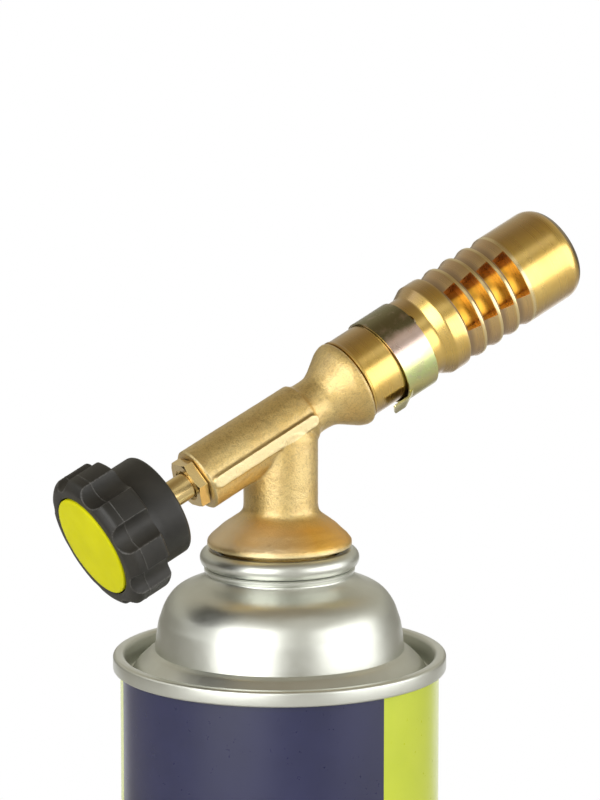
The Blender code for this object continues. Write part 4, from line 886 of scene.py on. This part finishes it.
# %% Sweep the head, leaving out the windows
HEAD_COLUMNS = 360
window_columns = []
for number in range(WINDOW_SETS):
    start = HEAD_ROLL + HEAD_COLUMNS // WINDOW_SETS * number - SLOT_SPAN // 2
    window_columns.append((start, start + SLOT_SPAN))
offsets = [along for along, radius in groove_turns]
window_rows = []
for number in range(GROOVES):
    row = first_groove_row + number * len(groove_turns)
    window_rows.append((row + offsets.index(WINDOW_FROM), row + offsets.index(WINDOW_TO)))


def in_window(i, j):
    return (any((i - first) % HEAD_COLUMNS < last - first for first, last in window_columns)
            and any(low <= j < high or partner(high) <= j < partner(low) for low, high in window_rows))


head_shape, head_grid = swept(head_line, round_the_axis(HEAD_COLUMNS), closed_line=True, skip=in_window)
for first, last in window_columns:
    for low, high in window_rows:
        for i in range(first, last):
            a, b = head_grid[i % HEAD_COLUMNS], head_grid[(i + 1) % HEAD_COLUMNS]
            for row in (low, high):
                head_shape.faces.new((a[row], b[row], b[partner(row)], a[partner(row)]))
        for column in (first, last):
            c = head_grid[column % HEAD_COLUMNS]
            for j in range(low, high):
                head_shape.faces.new((c[j], c[j + 1], c[partner(j + 1)], c[partner(j)]))
burner_tube = finish_mesh("burner_tube", head_shape, BURNER_AXIS, HEAD_SHARP)
print("windows:", len(window_columns) * len(window_rows))

# %% [markdown]
# Six round air holes lie under the clip. They are drilled with a Boolean, because a round hole across a curved wall
# doesn't follow the grid of the sweep.

# %% Drill the air holes
AIR_HOLES = 6
AIR_HOLE_RADIUS = 2.2
AIR_HOLE_PLACE = 32.3
FIRST_AIR_HOLE = -137
drill = bmesh.new()
for number in range(AIR_HOLES):
    roll = radians(FIRST_AIR_HOLE + 360 / AIR_HOLES * number)
    spot = Matrix.Translation((8.4 * MM, 0, AIR_HOLE_PLACE * MM))
    add_bar(drill, Matrix.Rotation(roll, 4, "Z") @ spot @ Matrix.Rotation(pi / 2, 4, "Y"), AIR_HOLE_RADIUS, 3.2, 40)
machine(burner_tube, HEAD_SHARP, ("DIFFERENCE", plain_piece("air_drill", drill, BURNER_AXIS)))
dress(burner_tube, "torch", "polished_brass", HEAD_BRASS, "burner_head")

# %% Tube behind the windows
mixer = turned("mixer", [(6.6, 37.3), (7.1, 37.3), (7.1, 38.5), (7.6, 38.5), (7.6, 39.9), (7.66, 40.2), (7.66, 62.2),
                         (7.1, 62.8), (6.6, 62.8)], BURNER_AXIS, 128)
dress(mixer, "torch", "inner_brass", INNER_BRASS, "mixing_tube")

# %% [markdown]
# The flame holder sits back in the mouth. It is a steel disc with a wide middle bore, a circle of ports and a notched
# rim, so that a ring of small flames keeps the big one alight.

# %% Flame holder
holder = turned("holder", [(3.2, 63.1), (7.55, 63.1), (7.55, 67.3), (7.35, 67.5), (3.5, 67.5), (3.2, 67.2)],
                BURNER_AXIS, 96)
cuts = bmesh.new()
for count, circle, radius in ((8, 5.1, 0.8), (12, 7.6, 0.5)):
    for number in range(count):
        angle = 2 * pi * number / count
        spot = Matrix.Translation((circle * cos(angle) * MM, circle * sin(angle) * MM, 65.3 * MM))
        add_bar(cuts, spot, radius, 6, 24)
machine(holder, 30, ("DIFFERENCE", plain_piece("holder_drill", cuts, BURNER_AXIS)))
dress(holder, "torch", "steel", STEEL, "flame_holder")

# %% [markdown]
# ## The air clip
# A strip of spring steel rolled nearly shut. It sits a little askew, and on its underside a flat tongue for the thumb
# leaves it and reaches back past its edge. Band and tongue are grids of points, thickened afterwards.

# %% Band and tongue
CLIP_RADIUS = 9.5
CLIP_SHEET = 0.4
CLIP_SLACK = 0.33
BAND_START, BAND_STEP, BAND_STEPS = 110, 2, 170
BAND_ROWS = 8
TONGUE_ROLL = radians(-40)
TONGUE_HALF = 2.4
TONGUE_ROOT = 27.3
TONGUE_LIFT = 10.2
TONGUE_STEPS = 14
TONGUE_ROWS = 12
LOW_SIDE = radians(-24)
CLIP_AXIS = BURNER_AXIS @ Matrix.Translation((CLIP_SLACK * cos(LOW_SIDE) * MM, CLIP_SLACK * sin(LOW_SIDE) * MM, 0))


def tongue_end(aside):
    """Place of the tongue's slanting free edge, with its corners rounded."""
    corner = 0.5
    inside = min(corner, TONGUE_HALF - abs(aside))
    return 22.1 + 0.26 * aside + corner - sqrt(corner ** 2 - (corner - inside) ** 2)


def clip_point(roll, far, aside, place):
    """A new point, so far from the axis in the direction of a roll and so far to the side of that direction."""
    return clip_shape.verts.new(((far * cos(roll) - aside * sin(roll)) * MM,
                                 (far * sin(roll) + aside * cos(roll)) * MM, place * MM))


def close_grid(shape, lines):
    """Fills a grid of points with faces."""
    for near, far in zip(lines, lines[1:]):
        for a, b, c, d in zip(near, far, far[1:], near[1:]):
            shape.faces.new((a, b, c, d))


clip_shape = bmesh.new()
band = []
for step in range(BAND_STEPS + 1):
    roll = radians(BAND_START + BAND_STEP * step)
    lean = cos(roll - LOW_SIDE)
    back, front = 25.9 + 0.45 * lean, 33.85 + 0.1 * lean
    band.append([clip_point(roll, CLIP_RADIUS, 0.0, back + (front - back) * t / BAND_ROWS)
                 for t in range(BAND_ROWS + 1)])
tongue = []
for step in range(-TONGUE_STEPS, TONGUE_STEPS + 1):
    aside = TONGUE_HALF * sin(radians(90 * step / TONGUE_STEPS))
    seat = sqrt(CLIP_RADIUS ** 2 - aside ** 2)
    line = []
    for t in range(TONGUE_ROWS + 1):
        place = TONGUE_ROOT + (tongue_end(aside) - TONGUE_ROOT) * t / TONGUE_ROWS
        rise = min(1.0, (TONGUE_ROOT - place) / 2.0)
        line.append(clip_point(TONGUE_ROLL, seat + (TONGUE_LIFT - seat) * rise * rise * (3 - 2 * rise), aside, place))
    tongue.append(line)
close_grid(clip_shape, band)
close_grid(clip_shape, tongue)
clip = finish_mesh("air_band", clip_shape, CLIP_AXIS, 40)
sheet = clip.modifiers.new("sheet", "SOLIDIFY")
sheet.thickness = CLIP_SHEET * MM
sheet.offset = 0
sheet.use_even_offset = True
soften(clip, 0.09, 40)
dress(clip, "clip", "yellow_zinc", YELLOW_ZINC, "air_clip")

# %% [markdown]
# ## Gland nut and spindle
# A small hexagonal nut closes the arm round the spindle. Its front corners are turned off to a cone, which a Boolean
# with a turned shape does exactly as the lathe would.

# %% Gland nut
NUT_WIDTH = 9.5
nut_shape = bmesh.new()
add_bar(nut_shape, Matrix.Rotation(radians(-3), 4, "Z") @ Matrix.Translation((0, 0, -23.0 * MM)),
        NUT_WIDTH / 2 / cos(pi / 6), 2.2, 6)
nut = finish_mesh("nut", nut_shape, BURNER_AXIS)
nose = helper_turned("nut_nose", [(0, -24.11), (4.95, -24.11), (5.5, -23.85), (5.6, -21.0), (0, -21.0)], BURNER_AXIS)
shank = helper_turned("nut_shank", [(0, -22.0), (4.3, -22.0), (4.3, -13.9), (0, -13.9)], BURNER_AXIS)
hole = helper_turned("nut_hole", [(0, -26.0), (3.5, -26.0), (3.5, -24.0), (3.0, -23.6), (3.0, -22.0), (3.4, -21.8),
                                  (3.4, -12.0), (0, -12.0)], BURNER_AXIS)
machine(nut, 25, ("INTERSECT", nose), ("UNION", shank), ("DIFFERENCE", hole))
soften(nut, 0.13, 25)
dress(nut, "torch", "turned_brass", FITTING_BRASS, "gland_nut")

# %% Spindle
spindle_line = [(0, 3.3), (0.3, 3.3), (1.7, 1.6), (1.7, -3.9), (3.05, -3.9), (3.05, -9.3), (2.75, -9.3), (2.75, -11.0),
                (3.05, -11.0), (3.05, -22.5), (2.8, -23.0), (2.8, -33.0), (2.3, -33.0), (2.3, -42.0), (1.5, -42.0),
                (1.5, -37.2), (0, -37.2)]
spindle = turned("spindle", spindle_line, BURNER_AXIS, 96, closed_line=False)
dress(spindle, "needle_knob", "turned_brass", FITTING_BRASS, "valve_spindle")

# %% [markdown]
# ## The knob
# Eight lobes with flat crests and round scallops between them. The radius of each point is the smaller of the turned
# outline and the scallop's wall, with the edge between them rounded by a soft minimum. A moulding line runs round the
# middle of the grip. The edges and that line are marked as rubbed, for the plastic's lighter wear.

# %% Knob
LOBES = 8
CREST_ROLL = radians(-126.6)
KNOB_RADIUS = 14.7
SCALLOP_RADIUS = 3.7
SCALLOP_CENTRE = KNOB_RADIUS - 2.0 + SCALLOP_RADIUS
LOBE_STEP = 2 * pi / LOBES
EDGE_WIDTH = 0.22
MOULD_LINE = -44.6
GRIP_FROM, GRIP_END = 11.5, -38.7


def soft_minimum(a, b, width):
    share = max(0.0, min(1.0, 0.5 + 0.5 * (b - a) / width))
    return b + (a - b) * share - width * share * (1 - share)


def scallop_wall(roll):
    """Radius of the scallop's wall at a roll angle, or a large number on a crest."""
    offset = (roll - CREST_ROLL) % LOBE_STEP - LOBE_STEP / 2
    side = SCALLOP_CENTRE * sin(offset)
    if abs(side) >= SCALLOP_RADIUS:
        return 99.0
    return SCALLOP_CENTRE * cos(offset) - sqrt(SCALLOP_RADIUS ** 2 - side ** 2)


def on_grip(radius, height):
    return radius >= GRIP_FROM and height <= GRIP_END


def near_mould_line(radius, height, width):
    return exp(-((height - MOULD_LINE) / width) ** 2) if radius > 14 else 0.0


def knob_reach(radius, height, roll):
    if not on_grip(radius, height):
        return radius
    return soft_minimum(radius, scallop_wall(roll), EDGE_WIDTH) + 0.07 * near_mould_line(radius, height, 0.13)


knob_line = [(11.13, -46.3), (11.13, -47.97), (11.25, -48.07), (11.8, -48.07)]
knob_line += smooth_line([(12.4, -48.07), (12.9, -48.0), (13.3, -47.83), (13.85, -47.42), (14.35, -46.93),
                          (14.6, -46.5), (KNOB_RADIUS, -46.0), (KNOB_RADIUS, -45.5)])
knob_line += [(KNOB_RADIUS, height) for height in (-45.2, -44.95, *(-44.85 + 0.05 * i for i in range(11)),
                                                   -44.2, -43.0, -41.5, -40.2)]
knob_line += arc((KNOB_RADIUS - 0.9, -39.7), 0.9, 0, 90, 7)
knob_line += [(13.2, -38.8), (12.4, -38.8), (11.6, -38.8), (11.25, -38.72), (11.03, -38.4), (11.03, -36.5),
              (11.03, -34.0), (11.03, -32.4)]
knob_line += arc((10.03, -32.0), 1.0, 0, 90, 8)
knob_line += [(9.0, -31.0), (3.7, -31.0), (3.35, -31.2), (3.35, -33.3), (2.6, -33.3), (2.6, -42.5), (6.2, -42.5),
              (6.2, -46.3)]


def knob_rolls():
    """Roll angles that are close together at the edges between crest and scallop."""
    half = acos((SCALLOP_CENTRE ** 2 + KNOB_RADIUS ** 2 - SCALLOP_RADIUS ** 2) / (2 * SCALLOP_CENTRE * KNOB_RADIUS))
    marks = [half * t / 8 for t in range(8)] + [half + near for near in (-0.012, -0.005, 0, 0.005, 0.012, 0.03)]
    marks += [(half + LOBE_STEP / 2) / 2, LOBE_STEP / 2 - 0.02]
    offsets = sorted({round(sign * m, 6) for m in marks for sign in (-1, 1)})
    return [CREST_ROLL + LOBE_STEP * (n + 0.5) + o for n in range(LOBES) for o in offsets]


knob_shape, knob_grid = swept(knob_line, knob_rolls(), closed_line=True, reach=knob_reach)
rubbed = {}
for column, roll in zip(knob_grid, knob_rolls()):
    for point, (radius, height) in zip(column, knob_line):
        nearness = exp(-((scallop_wall(roll) - radius) / EDGE_WIDTH) ** 2) if on_grip(radius, height) else 0.0
        rubbed[point] = min(1.0, 0.75 * nearness + 0.45 * near_mould_line(radius, height, 0.12))
rubbed_values = [rubbed[point] for point in knob_shape.verts]
grip = finish_mesh("grip", knob_shape, BURNER_AXIS, 48)
write_mark(grip, "rubbed", rubbed_values)
dress(grip, "needle_knob", "black_plastic", KNOB_PLASTIC, "knob")

# %% Cap
cap_line = [(0, -46.65), (10.75, -46.65), (10.83, -46.75), (10.83, -48.0)] + arc((10.53, -48.1), 0.3, 0, -80, 5)
cap_line += [(9.75, -48.44), (6.5, -48.55), (3.25, -48.6), (0, -48.6)]
cap = turned("cap", cap_line, BURNER_AXIS, 128, closed_line=False)
dress(cap, "needle_knob", "lime_plastic", CAP_PLASTIC, "knob_cap")

# %% [markdown]
# ## Pieces that stay as the frame has them
# Springs, seals, the valve and the jet are hidden inside, and their shapes are right as they are. They still get the
# finish of what they are made of.

# %% Finish the inner pieces
for finish, names in ((RUBBER, ("cup_gasket", "stem_gasket", "base_seal", "gland_packing", "spindle_o_ring")),
                      (VALVE_PLASTIC, ("valve_housing", "valve_stem")),
                      (STEEL, ("valve_spring", "knob_screw", "knob_washer")),
                      (UPRIGHT_BRASS, ("depressor_pin",)),
                      (FITTING_BRASS, ("gland_washer", "jet_tube", "jet_nozzle")),
                      (BRONZE, ("gas_filter",))):
    for name in names:
        nodes[name].material_slots[0].material = finish
print("finished the inner pieces")

# %% [markdown]
# ## Studio
# The photograph was taken on white, between large soft lamps left and right of the camera, under a dim warm ceiling.
# Polished metal shows exactly that: pale bands and dark tops. The walls behind the torch are paler than those behind
# the camera. The floor is a wide shallow bowl of pale paper. The part of it behind the torch reads as pure white, for
# the camera and in reflections; the rest is lit by the lamps alone.

# %% Floor and backdrop
into = Vector((-toward_camera.x, -toward_camera.y, 0)).normalized()


def make_paper():
    """Diffuse paper with a white glow in the part behind the torch, which lights nothing diffuse."""
    material = bpy.data.materials.new("white_paper")
    material.use_nodes = True
    tree = material.node_tree
    tree.nodes.clear()
    place = tree.nodes.new("ShaderNodeTexCoord").outputs["Object"]
    depth, side = [vector_node(tree, "DOT_PRODUCT", place, way) for way in (into, across)]
    zone = times(tree, spread(tree, depth, 0.30, 0.45), spread(tree, side, -0.45, -0.28))
    zone = times(tree, zone, spread(tree, side, 0.45, 0.28))
    ray = tree.nodes.new("ShaderNodeLightPath").outputs
    mirrored = math_node(tree, "MAXIMUM", ray["Is Glossy Ray"], ray["Is Transmission Ray"])
    seen = math_node(tree, "MAXIMUM", ray["Is Camera Ray"], mirrored)
    matt = add_node(tree, "BsdfDiffuse", (0.66, 0.66, 0.66)).outputs[0]
    glow = add_node(tree, "Emission", (1, 1, 1)).outputs[0]
    surface = add_node(tree, "MixShader", times(tree, seen, zone), matt, glow).outputs[0]
    add_node(tree, "OutputMaterial", surface)
    return material


bowl_line = [(0, 0), (300, 0), (900, 0), (1700, 0), (2400, 0)] + arc((2400, 800), 800, -80, 0, 9)
bowl = turned("paper_bowl", bowl_line, FLOOR_AXIS, 96, closed_line=False, sharp=60)
bowl.data.materials.append(make_paper())
bowl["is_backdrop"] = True


# %% Lamps and world


def soft_lamp(name, bearing, rise, distance, width, height, radiance):
    """An area lamp that faces the torch. bearing is counted from the camera, + to the camera's right."""
    turn, rise = radians(FRONT + bearing), radians(rise)
    way = Vector((cos(turn) * cos(rise), sin(turn) * cos(rise), sin(rise)))
    light = bpy.data.lights.new(name, "AREA")
    light.shape = "RECTANGLE"
    light.size = width
    light.size_y = height
    light.energy = radiance * pi * width * height
    lamp = add_object(name, light)
    lamp.matrix_world = looking_back(CROSSING, way, distance)
    lamp.visible_camera = False


soft_lamp("left_lamp", -32, 12, 1.0, 1.0, 0.86, 3.1)
soft_lamp("right_lamp", 70, 8, 1.0, 1.30, 0.80, 2.1)
soft_lamp("front_fill", 5, 30, 1.3, 0.60, 0.70, 0.3)
soft_lamp("top_lamp", 36, 52, 1.1, 0.45, 0.30, 0.45)
soft_lamp("back_lamp", -88, 26, 1.2, 0.75, 0.70, 0.75)
world = bpy.data.worlds.new("studio")
world.use_nodes = True
sky = world.node_tree
direction = sky.nodes.new("ShaderNodeTexCoord").outputs["Generated"]
height = split(sky, direction)["Z"]
ahead = vector_node(sky, "DOT_PRODUCT", direction, into)
near_walls = mix_colour(sky, spread(sky, height, 0.15, 0.50), (0.23, 0.23, 0.21), (0.34, 0.32, 0.26))
far_walls = mix_colour(sky, spread(sky, height, 0.35, 0.85), (0.52, 0.50, 0.42), (0.40, 0.35, 0.26))
walls = mix_colour(sky, spread(sky, ahead, 0.05, 0.55), near_walls, far_walls)
feed(sky, sky.nodes["Background"].inputs["Color"],
     mix_colour(sky, spread(sky, height, 0.80, 0.97), walls, (0.24, 0.19, 0.12)))
bpy.context.scene.world = world
bpy.context.scene.view_settings.view_transform = "Standard"

# %% Sizes, and the end
low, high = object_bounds()
print("visual box", [round(v, 5) for v in (*low, *high)])
